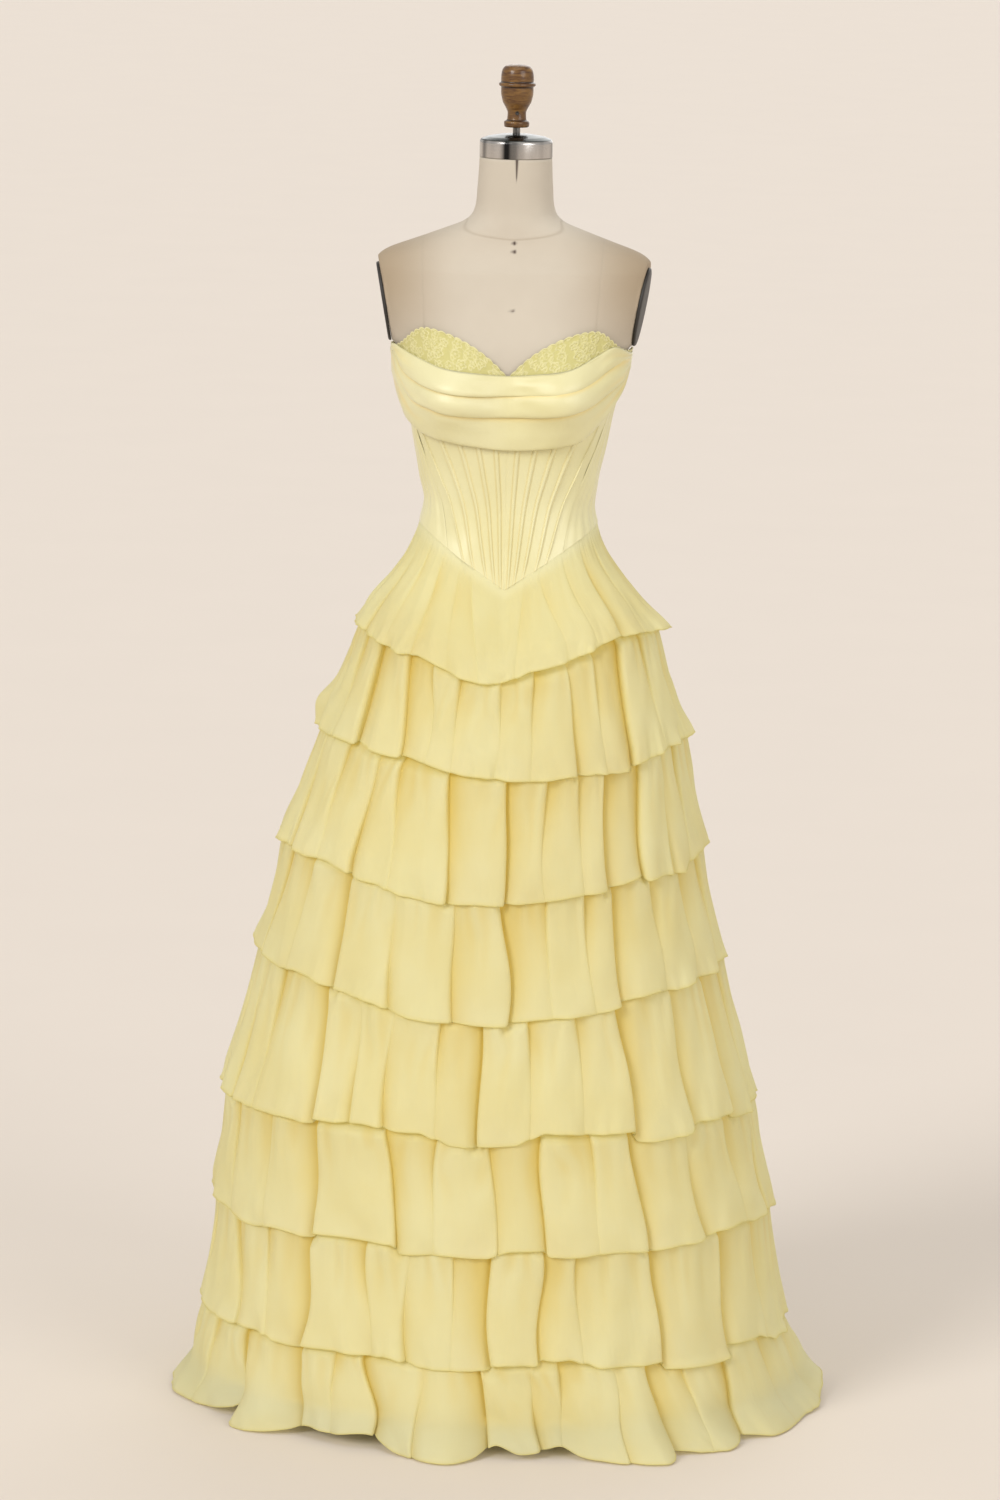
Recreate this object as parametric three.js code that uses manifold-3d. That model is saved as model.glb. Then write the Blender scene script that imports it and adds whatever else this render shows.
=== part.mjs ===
// A strapless evening gown with a tiered ruffle skirt, standing on a dressmaker's form.
// Millimetres, +Z up. The gown's front faces -Y and +X is on the right of someone who looks at it.
// The origin is on the floor, under the middle of the form's pole.
import * as THREE from "three";
import { mergeVertices } from "three/addons/utils/BufferGeometryUtils.js";
import Module from "manifold-3d";

// Cloth thicknesses and the gaps between pieces
const SATIN = 2.0;
const CHIFFON = 1.4;
const LINING_WALL = 1.2;
const CLEAR = 2.4; // between the form and the cloth that lies on it
const SEAM = 0.3; // between two pieces that are sewn together
const SEAM_TURN = 0.075; // half a seam's gap, in degrees round the body

// The form's level sections, from its flat underside to the top of the neck.
// wide: half the width; front and back: how far it reaches from the pole's line.
const FORM_SECTIONS = [
  { z: 900, wide: 152, front: 92, back: 112 },
  { z: 945, wide: 162, front: 100, back: 124 },
  { z: 1000, wide: 166, front: 103, back: 129 },
  { z: 1060, wide: 158, front: 104, back: 122 },
  { z: 1120, wide: 138, front: 98, back: 104 },
  { z: 1180, wide: 119, front: 88, back: 88 },
  { z: 1232, wide: 110, front: 81, back: 80 },
  { z: 1270, wide: 116, front: 85, back: 82 },
  { z: 1315, wide: 125, front: 93, back: 87 },
  { z: 1361, wide: 134, front: 100, back: 93 },
  { z: 1405, wide: 147, front: 103, back: 98 },
  { z: 1445, wide: 157, front: 99, back: 102 },
  { z: 1500, wide: 184, front: 88, back: 105 },
  { z: 1542, wide: 188, front: 74, back: 98 },
  { z: 1556, wide: 183, front: 66, back: 90 },
  { z: 1568, wide: 168, front: 60, back: 80 },
  { z: 1582, wide: 131, front: 56, back: 70 },
  { z: 1595, wide: 96, front: 55, back: 62 },
  { z: 1607, wide: 67, front: 54, back: 57 },
  { z: 1622, wide: 54, front: 52, back: 53 },
  { z: 1655, wide: 50, front: 50, back: 50 },
  { z: 1692, wide: 48, front: 48, back: 48 },
];
const SQUARENESS = 2.3; // 2 is an ellipse, and more is squarer
const FORM_SIDES = 32;
const FORM_STEP = 30; // the tallest step between two rings of the form above the hips
// The bust is two round rises on the front
const BUST = { apart: 78, z: 1378, rise: 36, wide: 50, above: 62, below: 40 };

// Arm plates close the form's armholes
const ARM_PLATE = { x: 170, y: -6, z: 1498, tall: 106, wide: 80, thick: 4, sides: 24 };
const ARM_PLATE_LEAN = 10; // degrees that its face looks down
const ARM_PLATE_TURN = 5; // degrees that its face looks forward

// Neck cap, finial and stand
const NECK_CAP = { z: 1692.3, radius: 48.4, tall: 23, edge: 2.5, sides: 28 };
const STEM = { radius: 5, tall: 16 };
const FINIAL_SIDES = 16;
const FINIAL_PROFILE = [
  { up: 0, radius: 16.5 },
  { up: 7.5, radius: 17 },
  { up: 9.5, radius: 12.6 },
  { up: 20, radius: 12 },
  { up: 26, radius: 15 },
  { up: 33, radius: 19 },
  { up: 43, radius: 21.4 },
  { up: 52, radius: 21.6 },
  { up: 54.5, radius: 24.4 },
  { up: 58, radius: 24.4 },
  { up: 60, radius: 21.8 },
  { up: 68, radius: 21.8 },
  { up: 76, radius: 20.2 },
  { up: 80.5, radius: 16.5 },
  { up: 82.5, radius: 9 },
];
const POLE_RADIUS = 14;
const BASE_PLATE = { radius: 190, thick: 10, hubRadius: 30, hubTop: 46, sides: 32 };
const COLLAR = { radius: 24, tall: 26 };

// The waist seam dips to a point in front
const WAIST = { side: 1206, point: 1126, sharpness: 0.95, backDip: 7 };
const WAIST_LAP = 4; // how far the skirt goes up under the bodice
const WAIST_FLARE = [11, 22]; // the bodice's hem stands out up to the first height above it
const BODICE_JOIN = 1352; // where the satin ends under the drape
const SIDE_SEAM = 96; // degrees from the front
const PRINCESS = { top: 84, bottom: 35 }; // the seam from the bust to the waist, in degrees
// Boning channels fan up from the waist point; all in degrees round the body
const CHANNELS = [
  { top: 5.4, bottom: 1.2, halfTop: 1.8, halfBottom: 0.8 },
  { top: 16.5, bottom: 3.9, halfTop: 2.0, halfBottom: 1.0 },
  { top: 29.5, bottom: 8.2, halfTop: 2.2, halfBottom: 1.2 },
  { top: 44, bottom: 15.6, halfTop: 2.4, halfBottom: 1.6 },
  { top: 68, bottom: 22.4, halfTop: 2.8, halfBottom: 1.8 },
];
const CHANNEL_RISE = 1.3;
const PANEL_ROWS = 8;

// The sweetheart neckline
const NECKLINE = { point: 1410, peak: 1471, peakX: 100, swell: 1.7, side: 1441, back: 1398 };
const CUP = { columns: 20, rows: 6, relief: 0.7, scallop: 2.2, scallops: 8.5 };

// The draped band across the bust: lobes that overlap downwards like tiles
const DRAPE = { end: 100, columns: 25, bottomMiddle: 1322, bottomSide: 1352, clear: 0.5 };
const DRAPE_TOP = { middle: 1407, side: 1438, endMiddle: 1409, endHalf: 25 };
// share: height up the band where the lobe's lower lip is; out: how far the lip stands out
const DRAPE_LOBES = [
  { share: 0, out: 8 },
  { share: 0.29, out: 7.5 },
  { share: 0.62, out: 6 },
];

// The skirt. Half the width of its mean surface at each hem, and the height of that hem
// in front and at the sides and back. sharp: how quickly the hem drops to its front height
// near the middle; wave: half the height of its waves; aside: how far its middle stands to +X.
const TIERS = [
  { hemFront: 1012, hemSide: 1068, sharp: 4.2, wide: 196, wave: 8, aside: 2 },
  { hemFront: 888, hemSide: 924, sharp: 2.6, wide: 241, wave: 9.5, aside: -2 },
  { hemFront: 731, hemSide: 772, sharp: 2.6, wide: 281, wave: 10, aside: -13 },
  { hemFront: 572, hemSide: 620, sharp: 3.2, wide: 309, wave: 10, aside: -12 },
  { hemFront: 420, hemSide: 425, sharp: 1.6, wide: 356, wave: 11, aside: -12 },
  { hemFront: 272, hemSide: 276, sharp: 1.6, wide: 374, wave: 11, aside: -2 },
  { hemFront: 118, hemSide: 119, sharp: 1.6, wide: 392, wave: 12, aside: 0 },
  { hemFront: 2, hemSide: 2, sharp: 1, wide: 430, wave: 13, aside: 10 },
];
// Where the valleys of the folds lie at each tier's hem, in degrees from the front, and how
// deep each fold is beside the mean. The folds behind are spread evenly.
const FOLDS = [
  { depth: 0.9, at: [-80, -80, -82, -84, -84, -78, -84, -86] },
  { depth: 1.1, at: [-66, -66, -70, -72, -69, -63, -68, -72] },
  { depth: 0.9, at: [-50, -49, -53, -60, -57, -50, -57, -58] },
  { depth: 1.4, at: [-36, -31, -40, -43, -40, -39, -41, -42] },
  { depth: 0.7, at: [-20, -20, -25, -29, -22, -23, -26, -28] },
  { depth: 0.9, at: [-8, -11, -12, -17, -9, -9, -10, -13] },
  { depth: 1.3, at: [8, 8, 4, 4, -2, 2, 0, -2] },
  { depth: 0.8, at: [18, 20, 15, 17, 10, 13, 10, 9] },
  { depth: 0.9, at: [29, 29, 29, 30, 21, 24, 25, 20] },
  { depth: 1.4, at: [50, 46, 38, 38, 34, 36, 37, 33] },
  { depth: 0.9, at: [66, 62, 50, 56, 50, 53, 56, 52] },
  { depth: 1.1, at: [82, 80, 70, 74, 72, 72, 74, 74] },
];
const CREST_SHOULDERS = [0.3, 0.7]; // a crest is flat between these shares of a fold's width
const BACK_FOLDS = 9;
const TIER_OVERLAP = 24; // how far a tier's seam lies above the hem over it
const TIER_CLEAR = 0.8; // between the foundation and a tier's seam
const TUCK = 3.6; // how far a tier lies inside the hem over it
const SEAM_PUFF = 2; // height of the gathers at a tier's seam
const SKIRT_FRONT = 0.8; // the skirt's reach in front beside its half width
const SKIRT_BACK = 0.83;
const FLOOR_KICK = { z: 30, inwards: 13 }; // the last tier's bend, where it meets the floor

// The foundation skirt that carries the tiers
const FOUNDATION = { inside: 22, columns: 36, hem: 40, topDrop: 9, topInside: 1.7 };

// The zip down the middle of the back
const ZIP = { half: 2.6, thick: 1.8, top: 1390, sliderZ: 1374, rows: 8 };
const SLIDER = { wide: 8, tall: 11, thick: 2.4 };
const BRIDGE = { wide: 1.5, tall: 10, out: 3.4, bar: 1.0 };
const PULL = { wide: 6.4, tall: 24, thick: 1.2, eyeHalf: 1.6, eyeTall: 5.6, bar: 1.2, slack: 0.4 };

const COLOURS = {
  satin: { color: 0xefe2a0, roughness: 0.42 },
  chiffon: { color: 0xf0e296, roughness: 0.85 },
  lace: { color: 0xece588, roughness: 0.9 },
  linen: { color: 0xdccfb6, roughness: 0.9 },
  dark: { color: 0x2f2f2f, roughness: 0.5 },
  steel: { color: 0xb9bcbf, roughness: 0.3, metalness: 1 },
  wood: { color: 0x8a5a2b, roughness: 0.35 },
};

const wasm = await Module();
wasm.setup();

const gown = new THREE.Group();

// Small helpers

const radians = (degrees) => (degrees * Math.PI) / 180;
const mix = (a, b, share) => a + (b - a) * share;
const clamp = (value, low, high) => Math.min(Math.max(value, low), high);
const smooth = (share) => share * share * (3 - 2 * share);

// A repeatable number from 0 to 1 for a whole number
function scatter(seed) {
  const value = Math.sin(seed * 127.1 + 11.7) * 43758.5453;
  return value - Math.floor(value);
}

function addMesh(name, geometry, look, parent = gown) {
  const mesh = new THREE.Mesh(geometry, new THREE.MeshStandardMaterial(COLOURS[look]));
  mesh.name = name;
  parent.add(mesh);
  return mesh;
}

// A closed geometry from points and faces, turned so that its faces point out
function closedGeometry(points, faces) {
  const edgeA = new THREE.Vector3();
  let volume = 0;
  for (const [a, b, c] of faces) {
    volume += edgeA.crossVectors(points[a], points[b]).dot(points[c]);
  }
  const index = faces.flatMap(([a, b, c]) => (volume > 0 ? [a, b, c] : [a, c, b]));
  const geometry = new THREE.BufferGeometry().setFromPoints(points);
  geometry.setIndex(index);
  geometry.computeVertexNormals();
  return geometry;
}

// A cloth wall between two grids of points, as grid[column][row].
// round closes the wall into a tube, and otherwise it is a panel with four edges.
function wall(outer, inner, round) {
  const columns = outer.length;
  const rows = outer[0].length;
  const points = [...outer.flat(), ...inner.flat()];
  const at = (side, column, row) => side * columns * rows + (column % columns) * rows + row;
  const faces = [];
  const quad = (a, b, c, d) => faces.push([a, b, c], [a, c, d]);
  const spans = round ? columns : columns - 1;
  for (let i = 0; i < spans; i += 1) {
    for (let j = 0; j < rows - 1; j += 1) {
      quad(at(0, i, j), at(0, i + 1, j), at(0, i + 1, j + 1), at(0, i, j + 1));
      quad(at(1, i, j), at(1, i, j + 1), at(1, i + 1, j + 1), at(1, i + 1, j));
    }
    quad(at(0, i, 0), at(1, i, 0), at(1, i + 1, 0), at(0, i + 1, 0));
    quad(at(0, i, rows - 1), at(0, i + 1, rows - 1), at(1, i + 1, rows - 1), at(1, i, rows - 1));
  }
  if (!round) {
    for (let j = 0; j < rows - 1; j += 1) {
      quad(at(0, 0, j), at(0, 0, j + 1), at(1, 0, j + 1), at(1, 0, j));
      const last = columns - 1;
      quad(at(0, last, j), at(1, last, j), at(1, last, j + 1), at(0, last, j + 1));
    }
  }
  return closedGeometry(points, faces);
}

// A solid between level rings of points, with flat ends
function stackedSolid(rings) {
  const sides = rings[0].length;
  const points = rings.flat();
  const faces = [];
  for (let k = 0; k < rings.length - 1; k += 1) {
    for (let i = 0; i < sides; i += 1) {
      const next = (i + 1) % sides;
      const a = k * sides + i;
      const b = k * sides + next;
      faces.push([a, b, b + sides], [a, b + sides, a + sides]);
    }
  }
  const end = (ring, first, flip) => {
    const middle = new THREE.Vector3();
    ring.forEach((point) => middle.addScaledVector(point, 1 / sides));
    points.push(middle);
    const hub = points.length - 1;
    for (let i = 0; i < sides; i += 1) {
      const a = first + i;
      const b = first + ((i + 1) % sides);
      faces.push(flip ? [hub, b, a] : [hub, a, b]);
    }
  };
  end(rings[0], 0, true);
  end(rings[rings.length - 1], (rings.length - 1) * sides, false);
  return closedGeometry(points, faces);
}

// A turned solid from a profile of [radius, height] that starts and ends on the axis
function turned(profile, sides) {
  const points = profile.map(([radius, height]) => new THREE.Vector2(radius, height));
  return new THREE.LatheGeometry(points, sides).rotateX(Math.PI / 2);
}

// One solid joined from several overlapping geometries
function joined(geometries) {
  const solids = geometries.map((geometry) => {
    const bare = geometry.clone();
    bare.deleteAttribute("normal");
    bare.deleteAttribute("uv");
    const merged = mergeVertices(bare, 1e-4);
    return new wasm.Manifold(
      new wasm.Mesh({
        numProp: 3,
        vertProperties: merged.attributes.position.array,
        triVerts: new Uint32Array(merged.index.array),
      }),
    );
  });
  const whole = solids.reduce((sum, solid) => sum.add(solid)).getMesh();
  const geometry = new THREE.BufferGeometry();
  geometry.setAttribute("position", new THREE.BufferAttribute(whole.vertProperties, 3));
  geometry.setIndex(new THREE.BufferAttribute(whole.triVerts, 1));
  geometry.computeVertexNormals();
  return geometry;
}

// The body of the form

// One column of the form's sections at a height, on a smooth curve through the table
function formSize(z, column) {
  const rows = FORM_SECTIONS;
  const last = rows.length - 1;
  const found = rows.findIndex((row) => row.z > z);
  const k = clamp((found < 0 ? last : found) - 1, 0, last - 1);
  const gap = rows[k + 1].z - rows[k].z;
  const share = clamp((z - rows[k].z) / gap, 0, 1);
  const slopeAt = (i) => {
    const low = rows[Math.max(i - 1, 0)];
    const high = rows[Math.min(i + 1, last)];
    return (high[column] - low[column]) / (high.z - low.z);
  };
  const s2 = share * share;
  const s3 = s2 * share;
  return (
    (2 * s3 - 3 * s2 + 1) * rows[k][column] +
    (s3 - 2 * s2 + share) * gap * slopeAt(k) +
    (3 * s2 - 2 * s3) * rows[k + 1][column] +
    (s3 - s2) * gap * slopeAt(k + 1)
  );
}

function bustRise(x, z) {
  const tall = z > BUST.z ? BUST.above : BUST.below;
  const up = ((z - BUST.z) / tall) ** 2;
  const left = ((x + BUST.apart) / BUST.wide) ** 2;
  const right = ((x - BUST.apart) / BUST.wide) ** 2;
  return BUST.rise * (Math.exp(-left - up) + Math.exp(-right - up));
}

// A point of the form's skin. turn: degrees from the front, positive towards +X
function skinPoint(turn, z) {
  const angle = radians(turn);
  const power = 2 / SQUARENESS;
  const across = Math.sign(Math.sin(angle)) * Math.abs(Math.sin(angle)) ** power;
  const along = Math.sign(Math.cos(angle)) * Math.abs(Math.cos(angle)) ** power;
  const x = formSize(z, "wide") * across;
  const reach = formSize(z, along > 0 ? "front" : "back");
  const bust = along > 0 ? bustRise(x, z) * clamp(along * 3, 0, 1) : 0;
  return new THREE.Vector3(x, -reach * along - bust, z);
}

// A point that lies away from the form's skin by offset, square to it in plan
function clothPoint(turn, z, offset) {
  const step = 0.6;
  const before = skinPoint(turn - step, z);
  const after = skinPoint(turn + step, z);
  const point = skinPoint(turn, z);
  const length = Math.hypot(after.x - before.x, after.y - before.y);
  point.x += ((after.y - before.y) / length) * offset;
  point.y -= ((after.x - before.x) / length) * offset;
  return point;
}

// The turn at which the form reaches x at a height, on the front
function turnOf(x, z) {
  const share = clamp(Math.abs(x) / formSize(z, "wide"), 0, 1);
  return (Math.asin(share ** (SQUARENESS / 2)) * 180 * Math.sign(x)) / Math.PI;
}

// The plane of an arm plate: its middle and the way that it faces
function armPlatePlane(side) {
  const lean = radians(ARM_PLATE_LEAN);
  const turn = radians(ARM_PLATE_TURN);
  const facing = new THREE.Vector3(
    side * Math.cos(lean) * Math.cos(turn),
    -Math.sin(turn),
    -Math.sin(lean),
  );
  const middle = new THREE.Vector3(side * ARM_PLATE.x, ARM_PLATE.y, ARM_PLATE.z);
  return { facing: facing.normalize(), middle };
}

// Moves a point that is past an armhole's plane back onto that plane
function trimmedAtArm(point) {
  if (point.z < ARM_PLATE.z - ARM_PLATE.tall * 0.62) return point;
  const side = point.x > 0 ? 1 : -1;
  const { facing, middle } = armPlatePlane(side);
  const past = facing.dot(new THREE.Vector3().subVectors(point, middle));
  if (past > 0) point.x -= past / facing.x;
  return point;
}

function makeForm() {
  const heights = [];
  FORM_SECTIONS.forEach(({ z }, k) => {
    const below = k > 0 ? FORM_SECTIONS[k - 1].z : z;
    if (z > WAIST.point && z - below > FORM_STEP) heights.push((z + below) / 2);
    heights.push(z);
  });
  const rings = heights.map((z) => {
    const ring = [];
    for (let i = 0; i < FORM_SIDES; i += 1) {
      ring.push(trimmedAtArm(skinPoint((i * 360) / FORM_SIDES, z)));
    }
    return ring;
  });
  addMesh("form_torso", stackedSolid(rings), "linen");
}

function makeArmPlates() {
  for (const side of [-1, 1]) {
    const { facing, middle } = armPlatePlane(side);
    const outline = new THREE.Shape();
    outline.absellipse(0, 0, ARM_PLATE.wide / 2, ARM_PLATE.tall / 2, 0, Math.PI * 2);
    const plate = new THREE.ExtrudeGeometry(outline, {
      depth: ARM_PLATE.thick,
      bevelEnabled: false,
      curveSegments: ARM_PLATE.sides / 2,
    });
    const mesh = addMesh(side > 0 ? "arm_plate_right" : "arm_plate_left", plate, "dark");
    const away = new THREE.Vector3().copy(middle).addScaledVector(facing, SEAM);
    const across = new THREE.Vector3(0, 0, 1).cross(facing).normalize();
    const up = new THREE.Vector3().crossVectors(facing, across);
    mesh.quaternion.setFromRotationMatrix(new THREE.Matrix4().makeBasis(across, up, facing));
    mesh.position.copy(away);
  }
}

function makeNeckCapAndFinial() {
  const { z, radius, tall, edge, sides } = NECK_CAP;
  const cap = [
    [0, 0],
    [radius, 0],
    [radius, tall - edge],
    [radius - edge, tall],
    [0, tall],
  ];
  addMesh("neck_cap", turned(cap, sides), "steel").position.z = z;
  const stem = [
    [0, 0],
    [STEM.radius, 0],
    [STEM.radius, STEM.tall],
    [0, STEM.tall],
  ];
  const stemZ = z + tall + SEAM;
  addMesh("finial_stem", turned(stem, FINIAL_SIDES), "steel").position.z = stemZ;
  const first = FINIAL_PROFILE[0];
  const last = FINIAL_PROFILE[FINIAL_PROFILE.length - 1];
  const finial = [
    [0, first.up],
    ...FINIAL_PROFILE.map((row) => [row.radius, row.up]),
    [0, last.up + 0.8],
  ];
  const finialZ = stemZ + STEM.tall + SEAM;
  addMesh("finial", turned(finial, FINIAL_SIDES), "wood").position.z = finialZ;
}

function makeStand() {
  const { radius, thick, hubRadius, hubTop, sides } = BASE_PLATE;
  const plate = [
    [0, 0],
    [radius, 0],
    [radius, thick - 3],
    [radius - 3, thick],
    [hubRadius + 6, thick + 2],
    [hubRadius - 8, hubTop],
    [0, hubTop],
  ];
  addMesh("stand_base", turned(plate, sides), "dark");
  const underside = FORM_SECTIONS[0].z;
  const poleTop = underside - COLLAR.tall - 2 * SEAM;
  const pole = [
    [0, hubTop + SEAM],
    [POLE_RADIUS, hubTop + SEAM],
    [POLE_RADIUS, poleTop],
    [0, poleTop],
  ];
  addMesh("stand_pole", turned(pole, FINIAL_SIDES), "steel");
  const collar = [
    [0, poleTop + SEAM],
    [COLLAR.radius - 4, poleTop + SEAM],
    [COLLAR.radius, poleTop + SEAM + 4],
    [COLLAR.radius, underside - SEAM],
    [0, underside - SEAM],
  ];
  addMesh("stand_collar", turned(collar, FINIAL_SIDES), "dark");
}

// The bodice

function waistHeight(turn) {
  const angle = radians(turn);
  if (Math.cos(angle) <= 0) return WAIST.side - WAIST.backDip * Math.cos(angle) ** 2;
  const out = Math.abs(Math.sin(angle)) ** (2 / SQUARENESS);
  return mix(WAIST.point, WAIST.side, out ** WAIST.sharpness);
}

// The height of the gown's top edge
function neckHeight(turn) {
  const angle = radians(turn);
  if (Math.cos(angle) < 0) {
    return mix(NECKLINE.side, NECKLINE.back, smooth(Math.abs(Math.cos(angle))));
  }
  const x = Math.abs(skinPoint(turn, NECKLINE.side).x);
  if (x < NECKLINE.peakX) {
    return mix(NECKLINE.point, NECKLINE.peak, 1 - (1 - x / NECKLINE.peakX) ** NECKLINE.swell);
  }
  const sideX = formSize(NECKLINE.side, "wide");
  const past = clamp((x - NECKLINE.peakX) / (sideX - NECKLINE.peakX), 0, 1);
  return mix(NECKLINE.peak, NECKLINE.side, smooth(past));
}

// A panel of the bodice. lines: its columns, as turns at the top and bottom and a rise.
// The lowest row stands out over the skirt's seam.
function bodicePanel(name, lines, topOf) {
  const grid = (away) =>
    lines.map(({ top, bottom, rise }) => {
      const column = [];
      const low = waistHeight(bottom);
      const heights = [low, ...WAIST_FLARE.map((up) => low + up)];
      const plainRows = PANEL_ROWS - heights.length;
      for (let row = 1; row <= plainRows; row += 1) {
        heights.push(mix(heights[2], topOf(top), row / plainRows));
      }
      heights.forEach((z, row) => {
        const turn = mix(bottom, top, (z - low) / (topOf(top) - low));
        const lap = row < 2 ? CHIFFON + SEAM + 1.2 : 0;
        const lifted = away > 0 && row > 0 ? rise : 0;
        column.push(clothPoint(turn, z, CLEAR + lap + away + lifted));
      });
      return column;
    });
  addMesh(name, wall(grid(SATIN), grid(0), false), "satin");
}

function makeBodice() {
  const plain = (top, bottom) => ({ top, bottom, rise: 0 });
  const join = () => BODICE_JOIN;
  const edge = plain(PRINCESS.top - SEAM_TURN, PRINCESS.bottom - SEAM_TURN);
  const half = CHANNELS.flatMap(({ top, bottom, halfTop, halfBottom }, k) => {
    const next = k + 1 < CHANNELS.length ? CHANNELS[k + 1] : edge;
    const between = k > 1 ? [plain((top + next.top) / 2, (bottom + next.bottom) / 2)] : [];
    return [
      plain(top - halfTop, bottom - halfBottom),
      { top, bottom, rise: CHANNEL_RISE },
      plain(top + halfTop, bottom + halfBottom),
      ...between,
    ];
  });
  const turnedOver = half.map(({ top, bottom, rise }) => ({ top: -top, bottom: -bottom, rise }));
  bodicePanel(
    "bodice_front",
    [
      plain(-edge.top, -edge.bottom),
      ...turnedOver.reverse(),
      plain(0, 0),
      ...half,
      edge,
    ],
    join,
  );
  const sideColumns = 7;
  const backColumns = 9;
  for (const side of [-1, 1]) {
    const word = side > 0 ? "right" : "left";
    const sideLines = [];
    for (let i = 0; i < sideColumns; i += 1) {
      const share = i / (sideColumns - 1);
      const top = mix(PRINCESS.top + SEAM_TURN, SIDE_SEAM - SEAM_TURN, share);
      const bottom = mix(PRINCESS.bottom + SEAM_TURN, SIDE_SEAM - SEAM_TURN, share);
      sideLines.push(plain(side * top, side * bottom));
    }
    bodicePanel(`bodice_side_${word}`, sideLines, join);
    const backLines = [];
    const edgeTop = 180 - turnOf(ZIP.half + SEAM, NECKLINE.back);
    const edgeBottom = 180 - turnOf(ZIP.half + SEAM, WAIST.side);
    for (let i = 0; i < backColumns; i += 1) {
      const share = i / (backColumns - 1);
      const top = mix(SIDE_SEAM + SEAM_TURN, edgeTop, share);
      const bottom = mix(SIDE_SEAM + SEAM_TURN, edgeBottom, share);
      backLines.push(plain(side * top, side * bottom));
    }
    bodicePanel(`bodice_back_${word}`, backLines, neckHeight);
  }
}

// A lace-covered cup, with a scalloped top edge and a low relief
function makeCups() {
  for (const side of [-1, 1]) {
    const grid = (away) => {
      const columns = [];
      for (let i = 0; i < CUP.columns; i += 1) {
        const share = i / (CUP.columns - 1);
        const turn = side * mix(SEAM_TURN * 2, SIDE_SEAM - SEAM_TURN, share ** 0.9);
        const scallop = Math.abs(Math.sin(share * Math.PI * CUP.scallops)) * CUP.scallop;
        const column = [];
        for (let j = 0; j < CUP.rows; j += 1) {
          const up = j / (CUP.rows - 1);
          const z = mix(BODICE_JOIN + SEAM, neckHeight(turn) + scallop, up);
          const petals = Math.sin(i * 2.1 + j * 1.3) * Math.sin(j * 2.4 - i * 0.9);
          const relief = away > 0 ? CUP.relief * Math.max(petals, 0) : 0;
          column.push(clothPoint(turn, z, CLEAR + away + relief));
        }
        columns.push(column);
      }
      return columns;
    };
    addMesh(side > 0 ? "cup_right" : "cup_left", wall(grid(SATIN), grid(0), false), "lace");
  }
}

// The edges of the draped band at a turn
function drapeEdges(turn) {
  const out = Math.sin(radians(clamp(Math.abs(turn), 0, 90)));
  const bottom = mix(DRAPE.bottomMiddle, DRAPE.bottomSide, out ** 3);
  const top = mix(DRAPE_TOP.middle, DRAPE_TOP.side, out ** 2.2);
  const end = smooth(clamp((Math.abs(turn) - 72) / (DRAPE.end - 72), 0, 1));
  const low = mix(bottom, DRAPE_TOP.endMiddle - DRAPE_TOP.endHalf, end);
  const high = mix(top, DRAPE_TOP.endMiddle + DRAPE_TOP.endHalf, end);
  return { low, high };
}

function makeDrape() {
  // Up the band: each lobe's lip, the fold above it and the slope up to the next lip
  const steps = [];
  DRAPE_LOBES.forEach(({ share, out }, k) => {
    const next = k + 1 < DRAPE_LOBES.length ? DRAPE_LOBES[k + 1].share : 1;
    steps.push({ up: share, out: out * 0.82 }, { up: mix(share, next, 0.3), out });
    steps.push({ up: mix(share, next, 0.93), out: out * 0.22 });
  });
  steps.push({ up: 1, out: 1.5 });
  const under = SATIN + CHANNEL_RISE + DRAPE.clear;
  const grid = (away) => {
    const columns = [];
    for (let i = 0; i < DRAPE.columns; i += 1) {
      const turn = mix(-DRAPE.end, DRAPE.end, i / (DRAPE.columns - 1));
      const { low, high } = drapeEdges(turn);
      const flat = mix(1, 0.35, smooth(clamp((Math.abs(turn) - 60) / 43, 0, 1)));
      columns.push(
        steps.map(({ up, out }) =>
          clothPoint(turn, mix(low, high, up), CLEAR + under + out * flat + away),
        ),
      );
    }
    return columns;
  };
  addMesh("bust_drape", wall(grid(SATIN * 0.8), grid(0), false), "satin");
}

// The skirt

// The height of a tier's hem; tier -1 is the waist seam
function hemHeight(tier, turn) {
  if (tier < 0) return waistHeight(turn);
  const { hemFront, hemSide, sharp } = TIERS[tier];
  const forward = Math.max(Math.cos(radians(turn)), 0);
  return mix(hemSide, hemFront, forward ** sharp);
}

// Half the width of the skirt's mean surface, and how far its middle stands to +X
function skirtSize(z) {
  const rows = [
    { z: WAIST.side, wide: 117, aside: 0 },
    ...TIERS.map(({ hemSide, wide, aside }) => ({ z: hemSide, wide, aside })),
  ];
  const found = rows.findIndex((row) => row.z < z);
  const k = clamp((found < 0 ? rows.length : found) - 1, 0, rows.length - 2);
  const share = (z - rows[k].z) / (rows[k + 1].z - rows[k].z);
  return {
    wide: mix(rows[k].wide, rows[k + 1].wide, share),
    aside: mix(rows[k].aside, rows[k + 1].aside, share),
  };
}

// A point of the skirt, moved out of its mean surface square to it in plan
function skirtPoint(turn, z, out) {
  const { wide, aside } = skirtSize(z);
  const angle = radians(turn);
  const depth = Math.cos(angle) > 0 ? SKIRT_FRONT : SKIRT_BACK;
  const normal = new THREE.Vector2(depth * Math.sin(angle), -Math.cos(angle)).normalize();
  return new THREE.Vector3(
    aside + wide * Math.sin(angle) + normal.x * out,
    -wide * depth * Math.cos(angle) + normal.y * out,
    z,
  );
}

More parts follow.
